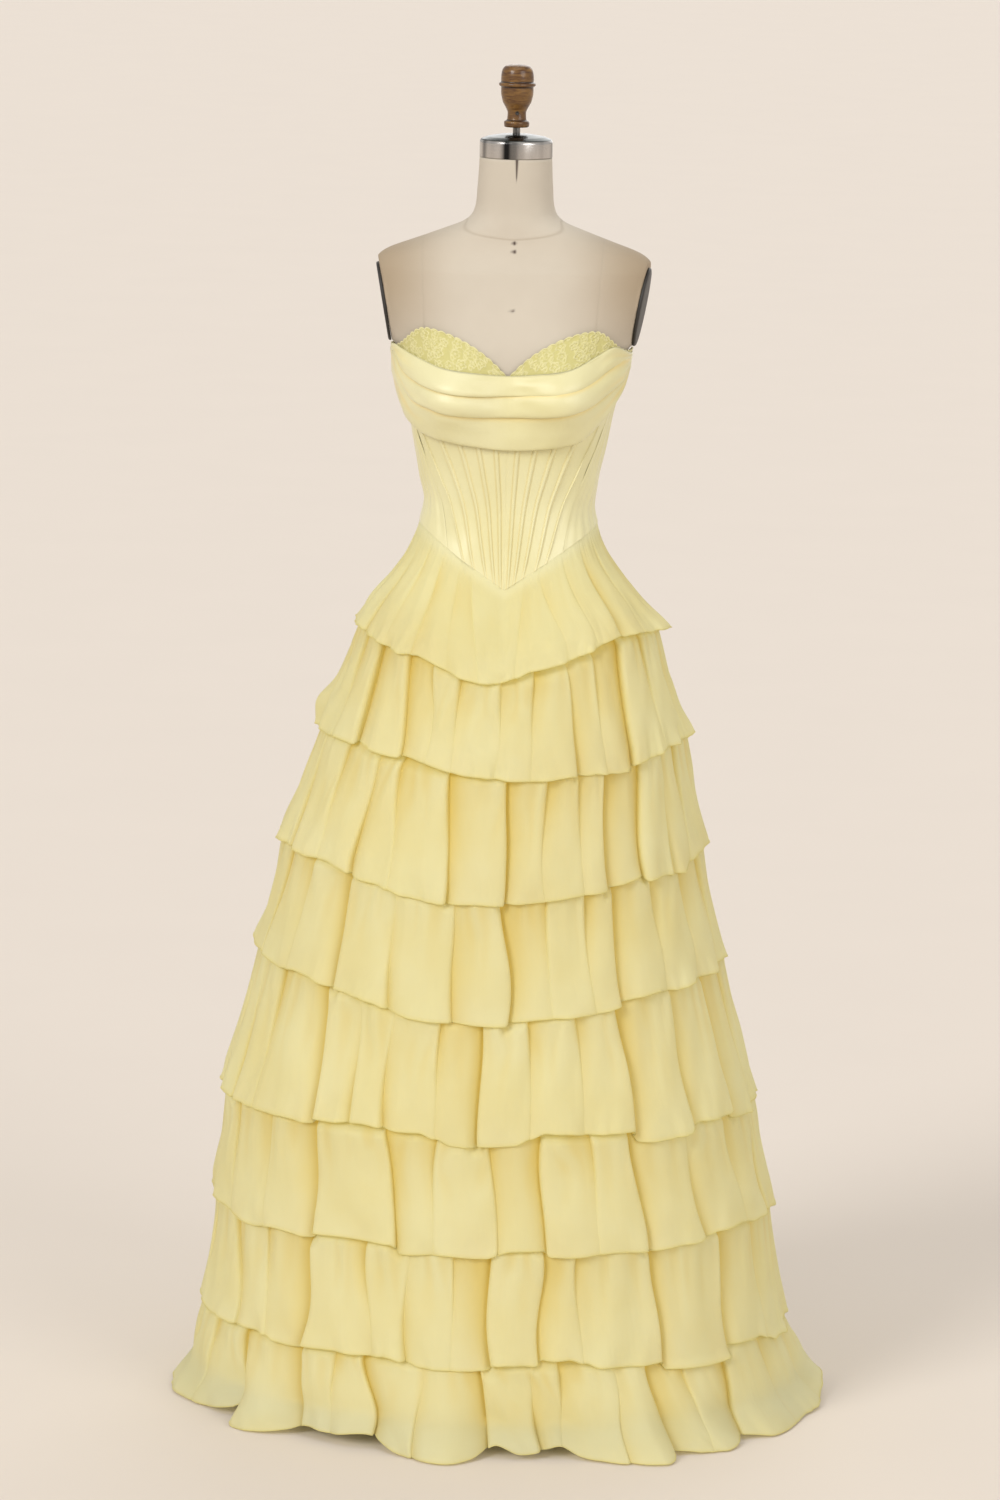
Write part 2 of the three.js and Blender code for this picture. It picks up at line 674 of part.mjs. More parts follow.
// Columns round a tier's hem: each fold's valley and the two shoulders of the crest after it.
// Every tier has the same count.
function foldColumns(tier) {
  const index = Math.max(tier, 0);
  const front = FOLDS.map(({ at, depth }) => ({ turn: at[index], depth }));
  const edge = front[front.length - 1].turn;
  const gap = (front[0].turn + 360 - edge) / (BACK_FOLDS + 1);
  const back = [];
  for (let i = 1; i <= BACK_FOLDS; i += 1) {
    const shift = (scatter(i * 5 + index) - 0.5) * 0.3;
    back.push({ turn: edge + (i + shift) * gap, depth: 0.8 + 0.5 * scatter(i * 3 + index) });
  }
  const valleys = [...front, ...back];
  return valleys.flatMap(({ turn, depth }, i) => {
    const next = valleys[(i + 1) % valleys.length];
    const nextTurn = next.turn < turn ? next.turn + 360 : next.turn;
    const rise = 0.75 + 0.5 * scatter(i * 8 + index);
    const valley = { turn, out: -depth };
    const crest = CREST_SHOULDERS.map((share) => ({ turn: mix(turn, nextTurn, share), out: rise }));
    return [valley, ...crest];
  });
}

function makeTier(tier) {
  const { wave } = TIERS[tier];
  const hem = foldColumns(tier);
  const over = foldColumns(tier - 1);
  const overWave = tier > 0 ? TIERS[tier - 1].wave : 0;
  const last = tier === TIERS.length - 1;
  const grid = (away) =>
    hem.map((column, i) => {
      const top = over[i];
      const hemZ = hemHeight(tier, column.turn);
      const points = [];
      if (tier === 0) {
        const seam = waistHeight(column.turn);
        points.push(clothPoint(column.turn, seam + WAIST_LAP, CLEAR + away));
        points.push(clothPoint(column.turn, seam - 6, CLEAR + away));
        const middle = mix(seam, hemZ, 0.5);
        const low = skirtPoint(column.turn, middle, away - CHIFFON + column.out * wave * 0.45);
        const high = clothPoint(column.turn, seam, CLEAR + away);
        points.push(low.lerp(high.setZ(middle), 0.12));
      } else {
        const upperHem = hemHeight(tier - 1, top.turn);
        const seamZ = upperHem + TIER_OVERLAP;
        const puff = top.out > 0 ? SEAM_PUFF : 0;
        points.push(skirtPoint(top.turn, seamZ, TIER_CLEAR + puff + away - FOUNDATION.inside));
        const tucked = top.out * overWave - TUCK - CHIFFON + away;
        points.push(skirtPoint(top.turn, upperHem, tucked));
        const turn = mix(top.turn, column.turn, 0.85);
        const out = mix(top.out * overWave, column.out * wave, 0.5);
        points.push(skirtPoint(turn, mix(upperHem, hemZ, 0.5), out - CHIFFON + away));
      }
      if (last) {
        const kick = FLOOR_KICK.inwards * (column.out > 0 ? 1 : 0.6);
        const out = column.out * wave * 0.8 - kick - CHIFFON + away;
        points.push(skirtPoint(column.turn, FLOOR_KICK.z, out + FLOOR_KICK.inwards * 0.4));
      }
      points.push(skirtPoint(column.turn, hemZ, column.out * wave - CHIFFON + away));
      return points;
    });
  addMesh(`tier_${tier + 1}`, wall(grid(CHIFFON), grid(0), true), "chiffon");
}

function makeFoundation() {
  const outer = [];
  const inner = [];
  for (let i = 0; i < FOUNDATION.columns; i += 1) {
    const turn = (i * 360) / FOUNDATION.columns;
    const seam = waistHeight(turn) - FOUNDATION.topDrop;
    const top = (away) => clothPoint(turn, seam, CLEAR - FOUNDATION.topInside + away);
    const rings = TIERS.slice(0, -1).map((tier, k) => hemHeight(k, turn) + TIER_OVERLAP);
    rings.push(hemHeight(TIERS.length - 2, turn), FOUNDATION.hem);
    const below = (away) =>
      rings.map((z) => skirtPoint(turn, z, -FOUNDATION.inside - LINING_WALL + away));
    outer.push([top(LINING_WALL), ...below(LINING_WALL)]);
    inner.push([top(0), ...below(0)]);
  }
  addMesh("foundation_skirt", wall(outer, inner, true), "satin");
}

// The zip

// A point on the middle of the back, moved out by offset, x to the side
function backPoint(x, z, offset) {
  const turn = 180 - turnOf(Math.abs(x), z);
  const point = clothPoint(Math.sign(x) * turn || turn, z, offset);
  point.x = x;
  return point;
}

function makeZip() {
  const grid = (away) =>
    [-ZIP.half, 0.01, ZIP.half].map((x) => {
      const column = [];
      for (let j = 0; j < ZIP.rows; j += 1) {
        const low = waistHeight(180) + WAIST_LAP + 2;
        const z = mix(low, ZIP.top, j / (ZIP.rows - 1));
        column.push(backPoint(x, z, CLEAR + away));
      }
      return column;
    });
  addMesh("zip_tape", wall(grid(ZIP.thick), grid(0), false), "satin");
  const seat = backPoint(0.01, ZIP.sliderZ, CLEAR + SATIN);
  const above = backPoint(0.01, ZIP.sliderZ + SLIDER.tall, CLEAR + SATIN);
  const below = backPoint(0.01, ZIP.sliderZ - SLIDER.tall, CLEAR + SATIN);
  const lean = Math.atan2(above.y - below.y, above.z - below.z);
  const closure = new THREE.Group();
  closure.position.set(0, seat.y + SEAM * 1.4, ZIP.sliderZ);
  closure.rotation.x = -lean;
  gown.add(closure);
  makeSlider(closure);
  makePull(closure);
}

// In the closure's own frame +Y points away from the gown's back
function makeSlider(closure) {
  const box = (wide, thick, tall, y, z) =>
    new THREE.BoxGeometry(wide, thick, tall).translate(0, y + thick / 2, z);
  const { out, bar, tall, wide } = BRIDGE;
  const foot = (z) => box(wide, out, bar, SLIDER.thick - 0.2, z);
  addMesh(
    "zip_slider",
    joined([
      box(SLIDER.wide, SLIDER.thick, SLIDER.tall, 0, 0),
      foot((tall - bar) / 2),
      foot((bar - tall) / 2),
      box(wide, bar, tall, SLIDER.thick + out - 0.4, 0),
    ]),
    "steel",
    closure,
  );
}

function makePull(closure) {
  const { wide, tall, thick, eyeHalf, eyeTall, bar } = PULL;
  const outline = new THREE.Shape();
  const narrow = eyeHalf + bar;
  outline.moveTo(-narrow, bar / 2);
  outline.lineTo(-narrow, -eyeTall - bar);
  outline.lineTo(-wide / 2, -eyeTall - 4);
  outline.lineTo(-wide / 2, -tall + wide / 2);
  outline.absarc(0, -tall + wide / 2, wide / 2, Math.PI, 2 * Math.PI, false);
  outline.lineTo(wide / 2, -eyeTall - 4);
  outline.lineTo(narrow, -eyeTall - bar);
  outline.lineTo(narrow, bar / 2);
  const eye = new THREE.Path();
  eye.moveTo(-eyeHalf, -bar / 2);
  eye.lineTo(eyeHalf, -bar / 2);
  eye.lineTo(eyeHalf, -eyeTall);
  eye.lineTo(-eyeHalf, -eyeTall);
  outline.holes.push(eye);
  const options = { depth: thick, bevelEnabled: false, curveSegments: 6 };
  const plate = new THREE.ExtrudeGeometry(outline, options).translate(0, 0, -thick / 2);
  plate.rotateX(Math.PI / 2);
  const pull = addMesh("zip_pull", plate, "steel", closure);
  pull.position.y = SLIDER.thick + (BRIDGE.out - 0.4) / 2;
  pull.position.z = -BRIDGE.tall / 2 + BRIDGE.bar + PULL.bar / 2 + PULL.slack;
  pull.rotation.x = -closure.rotation.x; // it hangs plumb
}

makeForm();
makeArmPlates();
makeNeckCapAndFinial();
makeStand();
makeBodice();
makeCups();
makeDrape();
for (let tier = 0; tier < TIERS.length; tier += 1) makeTier(tier);
makeFoundation();
makeZip();

export default gown;
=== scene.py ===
import math

import bpy
import numpy as np
from mathutils import Matrix, Vector


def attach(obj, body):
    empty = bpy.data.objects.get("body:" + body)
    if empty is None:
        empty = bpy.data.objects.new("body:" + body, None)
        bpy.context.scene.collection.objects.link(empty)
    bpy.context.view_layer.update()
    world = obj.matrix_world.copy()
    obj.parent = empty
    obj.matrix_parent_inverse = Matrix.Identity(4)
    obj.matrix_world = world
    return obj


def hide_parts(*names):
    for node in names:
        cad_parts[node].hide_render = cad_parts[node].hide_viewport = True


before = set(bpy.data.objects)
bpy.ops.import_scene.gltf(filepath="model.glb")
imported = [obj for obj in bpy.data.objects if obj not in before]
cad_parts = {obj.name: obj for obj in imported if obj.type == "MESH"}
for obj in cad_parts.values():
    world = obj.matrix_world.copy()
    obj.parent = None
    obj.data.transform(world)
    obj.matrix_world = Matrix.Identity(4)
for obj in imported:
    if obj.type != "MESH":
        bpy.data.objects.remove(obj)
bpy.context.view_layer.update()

# A strapless evening gown with a tiered ruffle skirt on a dressmaker's form.
# Shapes are worked out in millimetres and turned into metres when a piece is made.
# Turns are degrees round the body from the middle of the front, positive towards +X.

GOWN = "gown_and_form"
MM = 0.001

# How far the inside of the gown clears the form, how thick its satin is, and half the gap
# of a seam in degrees round the body
CLEAR = 2.4
SATIN = 2.0
SEAM_TURN = 0.075

# height, half width, reach in front, reach behind
FORM_SECTIONS = np.array([
    (900, 152, 92, 112),
    (945, 162, 100, 124),
    (1000, 166, 103, 129),
    (1060, 158, 104, 122),
    (1120, 138, 98, 104),
    (1180, 119, 88, 88),
    (1232, 110, 81, 80),
    (1270, 116, 85, 82),
    (1315, 125, 93, 87),
    (1361, 134, 100, 93),
    (1405, 147, 103, 98),
    (1445, 157, 99, 102),
    (1500, 184, 88, 105),
    (1542, 188, 74, 98),
    (1556, 183, 66, 90),
    (1568, 168, 60, 80),
    (1582, 131, 56, 70),
    (1595, 96, 55, 62),
    (1607, 67, 54, 57),
    (1622, 54, 52, 53),
    (1655, 50, 50, 50),
    (1692, 48, 48, 48),
], float)
WIDE, FRONT, BACK = 1, 2, 3
SQUARENESS = 2.3
BUST = {"apart": 78, "z": 1378, "rise": 36, "wide": 50, "above": 62, "below": 40}
ARM_PLATE = {"x": 170, "y": -6, "z": 1498, "tall": 106, "wide": 80, "lean": 10, "turn": 5}

WAIST = {"side": 1206, "point": 1126, "sharpness": 0.95, "back_dip": 7}
BODICE_JOIN = 1352
SIDE_SEAM = 96
NECKLINE = {"point": 1410, "peak": 1471, "peak_x": 100, "swell": 1.7, "side": 1441,
            "back": 1398}
# turn at the top of the panel, turn at the waist
CHANNELS = [(5.4, 1.2), (16.5, 3.9), (29.5, 8.2), (44, 15.6), (68, 22.4)]
PRINCESS = (84, 35)

# hem height at the sides, in front, how sharply it falls, half width, wave, shift to +X
TIERS = [
    (1068, 1012, 4.2, 196, 8, 2),
    (924, 888, 2.6, 241, 9.5, -2),
    (772, 731, 2.6, 281, 10, -13),
    (620, 572, 3.2, 309, 10, -12),
    (425, 420, 1.6, 356, 11, -12),
    (276, 272, 1.6, 374, 11, -2),
    (119, 118, 1.6, 392, 12, 0),
    (3, 2, 1.6, 430, 13, 10),
]
# Valleys of the folds in front, tier by tier: turn at the seam, turn at the hem, depth, and
# how much higher than the tier's own line the hem hangs between it and the next valley
FOLDS = [
    [(-84, -82, 0.5, 0), (-66, -66, 0.6, -9), (-52, -50, 0.5, -6), (-37, -36, 0.9, 3),
     (-24, -20, 0.4, 1), (-16, -8, 0.6, 2), (9, 5, 0.6, 13), (17, 25, 0.8, 13),
     (34, 38, 0.4, 11), (51, 51, 1.0, 8), (66, 66, 0.6, 0), (82, 82, 0.6, 0)],
    [(-82, -82, 0.7, 0), (-67, -66, 0.6, 4), (-54, -51, 1.4, 10), (-37, -31, 1.0, 14),
     (-26, -22, 0.4, 11), (-14, -13, 0.7, 6), (0, 0, 0.3, 0), (13, 11, 0.7, 0),
     (24, 26, 0.9, -5), (36, 36, 0.4, -11), (50, 47, 1.4, -5), (64, 62, 0.7, 0),
     (80, 80, 0.8, 0)],
    [(-84, -86, 0.8, 0), (-70, -68, 0.6, 3), (-54, -52, 0.7, 7), (-39, -39, 0.9, 2),
     (-30, -26, 0.8, -4), (-14, -10, 1.0, -4), (4, 5, 1.5, -1), (17, 16, 0.8, -2),
     (27, 27, 0.7, -2), (36, 34, 1.1, 1), (50, 47, 1.1, -7), (61, 59, 0.4, -12),
     (73, 69, 0.8, 0), (86, 84, 0.6, 0)],
    [(-88, -88, 0.5, 0), (-69, -76, 0.9, -2), (-54, -57, 0.6, 4), (-38, -39, 1.5, 4),
     (-24, -23, 0.5, -1), (-8, -7, 0.9, -1), (4, 6, 1.5, 3), (17, 17, 0.5, -1),
     (28, 28, 0.8, -3), (36, 35, 1.1, 1), (50, 50, 0.5, -7), (63, 64, 0.7, -5),
     (78, 79, 0.7, 0)],
    [(-84, -86, 0.6, 0), (-72, -71, 0.6, -1), (-60, -59, 0.8, 2), (-42, -38, 1.4, 10),
     (-31, -29, 0.4, 12), (-21, -21, 0.8, 9), (-9, -9, 0.8, -7), (0, 0, 1.4, -4),
     (11, 11, 0.8, 12), (22, 23, 0.5, 7), (33, 35, 1.3, -8), (51, 52, 0.9, 5),
     (65, 67, 1.1, -6), (80, 81, 0.6, 0)],
    [(-84, -84, 0.7, 0), (-68, -67, 0.6, -7), (-52, -52, 0.6, -2), (-38, -37, 1.4, 6),
     (-21, -18, 1.0, -6), (-8, -10, 0.7, -4), (2, 3, 0.9, 4), (14, 13, 1.0, -3),
     (24, 24, 0.5, -3), (34, 35, 1.3, -4), (49, 51, 0.8, 6), (64, 66, 0.6, 2),
     (80, 80, 0.7, 0)],
    [(-84, -84, 0.7, 5), (-66, -59, 0.9, 10), (-52, -48, 0.6, 3), (-38, -38, 1.3, 7),
     (-24, -22, 0.8, 10), (-15, -15, 0.6, -3), (-6, -6, 0.5, -1), (2, 2, 1.3, 6),
     (12, 11, 1.0, 14), (20, 20, 0.7, 0), (36, 37, 1.2, -12), (55, 55, 1.1, 3),
     (70, 70, 0.6, -12), (84, 84, 0.6, 0)],
    [(-84, -84, 0.7, 0), (-70, -70, 0.6, 0), (-56, -54.5, 1.0, 0), (-39, -37, 1.2, 0),
     (-30, -30, 0.5, 0), (-24, -21.5, 1.1, 0), (-12, -13, 0.25, 0), (-1, 0.5, 1.3, 0),
     (9, 10, 0.8, 0), (15, 14, 0.8, 0), (25, 25, 0.3, 0), (34, 34, 1.2, 0), (42, 42, 0.8, 0),
     (53, 52, 1.0, 0), (68, 68, 0.6, 0), (83, 84, 0.7, 0)],
]
BACK_FOLDS = 11
# The lowest hem on the floor: turn, how far out it lies, how high it is lifted
FLOOR_HEM = np.array([
    (-180, 0, 3), (-168, 8, 3), (-157, -8, 7), (-146, 6, 3), (-135, -6, 6), (-124, 8, 3),
    (-110, -6, 5), (-100, 0, 3), (-88, 6, 3), (-72, 4, 3), (-64, -12, 4), (-56.5, -18, 14),
    (-54.5, -16, 19), (-52, 8, 3), (-46, 2, 3), (-40, -17, 8), (-36, -18, 17), (-30, -18, 15),
    (-22.5, -18, 21), (-20, -18, 14), (-16, -8, 4), (-11, 8, 3), (-6, 14, 3), (-2.5, -6, 5),
    (0, -18, 13), (2, -18, 19), (6, -18, 8), (10, -18, 12), (13.5, -18, 18), (17, -12, 6),
    (22, 8, 3), (26, 24, 3), (30, 34, 3), (32.5, 24, 3), (34.5, 8, 7), (37, 8, 6),
    (40, 14, 3), (46, 8, 3), (52, -6, 8), (58, 4, 3), (74, 0, 3), (84, 4, 8), (97, 17, 28),
    (110, -2, 4), (122, 8, 3), (134, -8, 6), (146, 6, 3), (158, -6, 6), (169, 7, 3),
    (180, 0, 3),
], float)
# The skirt's depth as a share of its width, in front and behind
SKIRT_FRONT = 0.8
SKIRT_BACK = 0.83
# How far each ruffle is sewn above the hem over it, and how far in the foundation hangs
SEAM_RISE = 24
WAIST_TUCK = 9
FOUNDATION_INSIDE = 22

# The drape's fold lines: turn, bottom edge, lower fold, upper fold, top edge
DRAPE_LINES = np.array([
    (-100, 1380, 1426, 1431, 1436),
    (-84, 1368, 1429, 1434, 1440),
    (-74, 1354, 1423, 1435, 1444),
    (-67, 1347, 1403, 1427, 1443),
    (-61, 1341, 1385, 1417, 1439),
    (-54, 1335, 1377, 1408, 1434),
    (-41, 1328, 1370, 1399, 1426),
    (-30, 1324, 1364, 1393, 1419),
    (-15, 1320, 1361, 1389, 1414),
    (0, 1317, 1361, 1389, 1411),
    (12, 1318, 1362, 1391, 1414),
    (29, 1322, 1366, 1396, 1421),
    (43, 1330, 1376, 1408, 1436),
    (54, 1348, 1389, 1423, 1447),
    (68, 1376, 1404, 1429, 1442),
    (78, 1400, 1416, 1430, 1438),
    (85, 1414, 1423, 1431, 1437),
    (100, 1418, 1426, 1432, 1436),
], float)

ZIP = {"half": 2.6, "top": 1390}


# Curves and shapes

def mix(a, b, share):
    return a + (b - a) * share


def smooth(share):
    share = np.clip(share, 0, 1)
    return share * share * (3 - 2 * share)


def scatter(seed):
    """A repeatable number from 0 to 1."""
    return float(np.modf(np.abs(math.sin(seed * 127.1 + 11.7) * 43758.5453))[0])


def curve_through(heights, values, z):
    """A smooth curve through a table's rows."""
    z = np.clip(z, heights[0], heights[-1])
    k = np.clip(np.searchsorted(heights, z, side="right") - 1, 0, len(heights) - 2)
    slopes = np.empty(len(values))
    slopes[1:-1] = (values[2:] - values[:-2]) / (heights[2:] - heights[:-2])
    slopes[0] = (values[1] - values[0]) / (heights[1] - heights[0])
    slopes[-1] = (values[-1] - values[-2]) / (heights[-1] - heights[-2])
    gap = heights[k + 1] - heights[k]
    s = (z - heights[k]) / gap
    return ((2 * s**3 - 3 * s**2 + 1) * values[k] + (s**3 - 2 * s**2 + s) * gap * slopes[k]
            + (3 * s**2 - 2 * s**3) * values[k + 1] + (s**3 - s**2) * gap * slopes[k + 1])


def form_size(z, column):
    return curve_through(FORM_SECTIONS[:, 0], FORM_SECTIONS[:, column], z)


def skin(turn, z):
    """x and y of the form's skin."""
    angle = np.radians(turn)
    power = 2 / SQUARENESS
    across = np.sign(np.sin(angle)) * np.abs(np.sin(angle)) ** power
    along = np.sign(np.cos(angle)) * np.abs(np.cos(angle)) ** power
    x = form_size(z, WIDE) * across
    reach = np.where(along > 0, form_size(z, FRONT), form_size(z, BACK))
    tall = np.where(z > BUST["z"], BUST["above"], BUST["below"])
    up = ((z - BUST["z"]) / tall) ** 2
    bust = sum(np.exp(-((x + side * BUST["apart"]) / BUST["wide"]) ** 2 - up) for side in (-1, 1))
    bust = BUST["rise"] * bust * np.clip(along * 3, 0, 1)
    return x, -reach * along - bust


def cloth(turn, z, offset):
    """Points that lie off the form's skin by an offset."""
    turn, z, offset = np.broadcast_arrays(turn, z, offset)
    x, y = skin(turn, z)
    x0, y0 = skin(turn - 0.6, z)
    x1, y1 = skin(turn + 0.6, z)
    length = np.hypot(x1 - x0, y1 - y0)
    return np.stack([x + (y1 - y0) / length * offset, y - (x1 - x0) / length * offset, z], -1)


def waist_height(turn):
    angle = np.radians(turn)
    out = np.abs(np.sin(angle)) ** (2 / SQUARENESS)
    front = mix(WAIST["point"], WAIST["side"], out ** WAIST["sharpness"])
    behind = WAIST["side"] - WAIST["back_dip"] * np.cos(angle) ** 2
    return np.where(np.cos(angle) <= 0, behind, front)


def neck_height(turn):
    angle = np.radians(turn)
    back = mix(NECKLINE["side"], NECKLINE["back"], smooth(np.abs(np.cos(angle))))
    x = np.abs(skin(turn, np.full_like(turn, NECKLINE["side"], float))[0])
    peak_x = NECKLINE["peak_x"]
    inside = 1 - (1 - np.clip(x / peak_x, 0, 1)) ** NECKLINE["swell"]
    rise = mix(NECKLINE["point"], NECKLINE["peak"], inside)
    side_x = form_size(np.array([float(NECKLINE["side"])]), WIDE)[0]
    fall = mix(NECKLINE["peak"], NECKLINE["side"], smooth((x - peak_x) / (side_x - peak_x)))
    return np.where(np.cos(angle) < 0, back, np.where(x < peak_x, rise, fall))


def skirt_size(z):
    heights = np.array([WAIST["side"]] + [tier[0] for tier in TIERS], float)[::-1]
    widths = np.array([117] + [tier[3] for tier in TIERS], float)[::-1]
    shifts = np.array([0] + [tier[5] for tier in TIERS], float)[::-1]
    return np.interp(z, heights, widths), np.interp(z, heights, shifts)


def skirt(turn, z, out):
    """Points off the skirt's mean surface."""
    wide, aside = skirt_size(z)
    angle = np.radians(turn)
    depth = np.where(np.cos(angle) > 0, SKIRT_FRONT, SKIRT_BACK)
    across, along = depth * np.sin(angle), -np.cos(angle)
    length = np.hypot(across, along)
    return np.stack([aside + wide * np.sin(angle) + across / length * out,
                     -wide * depth * np.cos(angle) + along / length * out, z], -1)


def hem_height(tier, turn):
    if tier < 0:
        return waist_height(turn)
    side, front, sharp = TIERS[tier][:3]
    return mix(side, front, np.clip(np.cos(np.radians(turn)), 0, 1) ** sharp)


def ripple(seed, across, along, waves=9):
    """Soft uneven noise from -1 to 1 over a surface; across repeats every 360."""
    random = np.random.default_rng(seed)
    total = np.zeros(np.broadcast(across, along).shape)
    for _ in range(waves):
        around = random.integers(6, 40)
        rise = random.uniform(-5, 5)
        phase = random.uniform(0, 2 * np.pi)
        total = total + np.sin(np.radians(across) * around + along * rise + phase)
    return total / math.sqrt(waves)


# Making pieces

def grid_faces(columns, rows, around):
    faces = []
    spans = columns if around else columns - 1
    for i in range(spans):
        a = i * rows
        b = ((i + 1) % columns) * rows
        for j in range(rows - 1):
            faces.append((a + j, b + j, b + j + 1, a + j + 1))
    return faces


def make_piece(name, points, faces, finish, slot, body=GOWN, replaces=(), flat_uv=None,
               marks=None):
    """A smooth shaded mesh from points in millimetres."""
    mesh = bpy.data.meshes.new(name)
    mesh.from_pydata((points * MM).tolist(), [], faces)
    mesh.polygons.foreach_set("use_smooth", [True] * len(mesh.polygons))
    mesh.materials.append(finish)
    if flat_uv is not None:
        layer = mesh.uv_layers.new(name="cut")
        corners = np.empty(len(mesh.loops), np.int32)
        mesh.loops.foreach_get("vertex_index", corners)
        layer.data.foreach_set("uv", flat_uv[corners].ravel())
    for label, values in (marks or {}).items():
        mark = mesh.attributes.new(label, "FLOAT", "POINT")
        mark.data.foreach_set("value", np.ascontiguousarray(values, np.float32).ravel())
    mesh.update()
    piece = bpy.data.objects.new(name, mesh)
    bpy.context.scene.collection.objects.link(piece)
    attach(piece, body)
    if replaces:
        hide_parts(*replaces)
    return piece


def with_edges(points, near=0.12):
    """The grid with one more row close inside each edge, so that the edges stay crisp."""
    for _ in range(2):
        points = np.concatenate([points[:1], mix(points[:1], points[1:2], near), points[1:-1],
                                 mix(points[-1:], points[-2:-1], near), points[-1:]])
        points = points.swapaxes(0, 1)
    return points


def turned_in(points, depth):
    """The cloth with all its edges folded to the wrong side."""
    points = with_edges(points)
    normal = np.cross(np.gradient(points, axis=0), np.gradient(points, axis=1))
    normal /= np.linalg.norm(normal, axis=2)[..., None]
    inner = points - normal * depth
    points = np.concatenate([inner[:, :1], points, inner[:, -1:]], axis=1)
    inner = np.concatenate([inner[:, :1], inner, inner[:, -1:]], axis=1)
    return np.concatenate([inner[:1], points, inner[-1:]], axis=0)


def make_grid(name, points, finish, slot, around=False, edge=0.0, marks=None, **more):
    """points[column, row] as a sheet with its cut laid out flat as its texture space."""
    if edge:
        points = turned_in(points, edge)
        marks = {label: np.pad(values, 2, mode="edge") for label, values in (marks or {}).items()}
    columns, rows = points.shape[:2]
    across = np.linalg.norm(np.diff(points, axis=0), axis=2)
    along = np.linalg.norm(np.diff(points, axis=1), axis=2)
    u = np.concatenate([[0], np.cumsum(across.mean(axis=1))])
    v = np.concatenate([[0], np.cumsum(along.mean(axis=0))])
    uv = np.stack(np.meshgrid(u, v, indexing="ij"), -1).reshape(-1, 2) * MM
    faces = grid_faces(columns, rows, around)
    return make_piece(name, points.reshape(-1, 3), faces, finish, slot, flat_uv=uv,
                      marks=marks, **more)


def flat_size(points, around=False):
    across = np.linalg.norm(np.diff(points, axis=0), axis=2)
    along = np.linalg.norm(np.diff(points, axis=1), axis=2)
    width = across.sum(axis=0).mean()
    if around:
        width += np.linalg.norm(points[0] - points[-1], axis=1).mean()
    return width * MM, along.sum(axis=1).mean() * MM


def lay_on_form(piece, points, **more):
    flat_size(points)


def cut_area(points):
    """Area of a cut that isn't a rectangle, in square metres."""
    corner = points[:-1, :-1]
    sides = np.cross(points[1:, :-1] - corner, points[:-1, 1:] - corner)
    return float(np.linalg.norm(sides, axis=2).sum() * MM ** 2)


def ring_faces(rings, sides, closed=True):
    """Faces between rings of points, and over the two ends of a closed form."""
    faces = [(k * sides + i, k * sides + (i + 1) % sides, (k + 1) * sides + (i + 1) % sides,
              (k + 1) * sides + i) for k in range(rings - 1) for i in range(sides)]
    if closed:
        faces += [tuple(range(sides))[::-1], tuple(range((rings - 1) * sides, rings * sides))]
    return faces


def turned_points(profile, sides):
    """A lathe form's points and faces from rows of radius and height."""
    angles = np.linspace(0, 2 * np.pi, sides, endpoint=False)
    points = [np.stack([r * np.cos(angles), r * np.sin(angles), np.full(sides, z)], -1)
              for r, z in profile]
    return np.concatenate(points), ring_faces(len(profile), sides)


def softened(profile, radius, steps=5):
    """The profile with each inner corner rounded."""
    rows = [np.array(row, float) for row in profile]
    result = [rows[0]]
    for before, corner, after in zip(rows, rows[1:], rows[2:]):
        back, ahead = before - corner, after - corner
        cut = min(radius, np.linalg.norm(back) * 0.45, np.linalg.norm(ahead) * 0.45)
        start = corner + back / np.linalg.norm(back) * cut
        end = corner + ahead / np.linalg.norm(ahead) * cut
        for share in np.linspace(0, 1, steps):
            result.append((1 - share) ** 2 * start + 2 * share * (1 - share) * corner
                          + share**2 * end)
    result.append(rows[-1])
    return result


# Finishes

def shader_group(name, inputs, outputs):
    tree = bpy.data.node_groups.new(name, "ShaderNodeTree")
    for label, kind, value in inputs:
        socket = tree.interface.new_socket(label, in_out="INPUT", socket_type=kind)
        if value is not None:
            socket.default_value = value
    for label, kind in outputs:
        tree.interface.new_socket(label, in_out="OUTPUT", socket_type=kind)
    return tree, tree.nodes.new("NodeGroupInput"), tree.nodes.new("NodeGroupOutput")


def set_inputs(tree, node, values):
    """Sets inputs, by name or as i0, i1 and so on, to numbers or to other nodes' outputs."""
    for key, value in values.items():
        by_number = key[0] == "i" and key[1:].isdigit()
        socket = node.inputs[int(key[1:]) if by_number else key.replace("_", " ")]
        if isinstance(value, bpy.types.NodeSocket):
            tree.links.new(value, socket)
        else:
            socket.default_value = value
    return node


def add_node(tree, kind, settings=None, **values):
    node = tree.nodes.new("ShaderNode" + kind)
    for key, value in (settings or {}).items():
        setattr(node, key, value)
    return set_inputs(tree, node, values)


def blend(tree, share, first, second):
    """A colour between two, each given as a colour or as another node's output."""
    return add_node(tree, "Mix", {"data_type": "RGBA"}, Factor=share, i6=first,
                    i7=second).outputs[2]


def marked(tree, label):
    """Where a piece's own mark of that name is 1."""
    return add_node(tree, "Attribute", {"attribute_name": label}).outputs["Fac"]


def stretched_noise(tree, vector, stretch, **values):
    """Noise over a vector that is first stretched."""
    place = add_node(tree, "Mapping", Vector=vector, Scale=stretch)
    return add_node(tree, "TexNoise", Vector=place.outputs[0], Scale=1.0, **values).outputs[0]


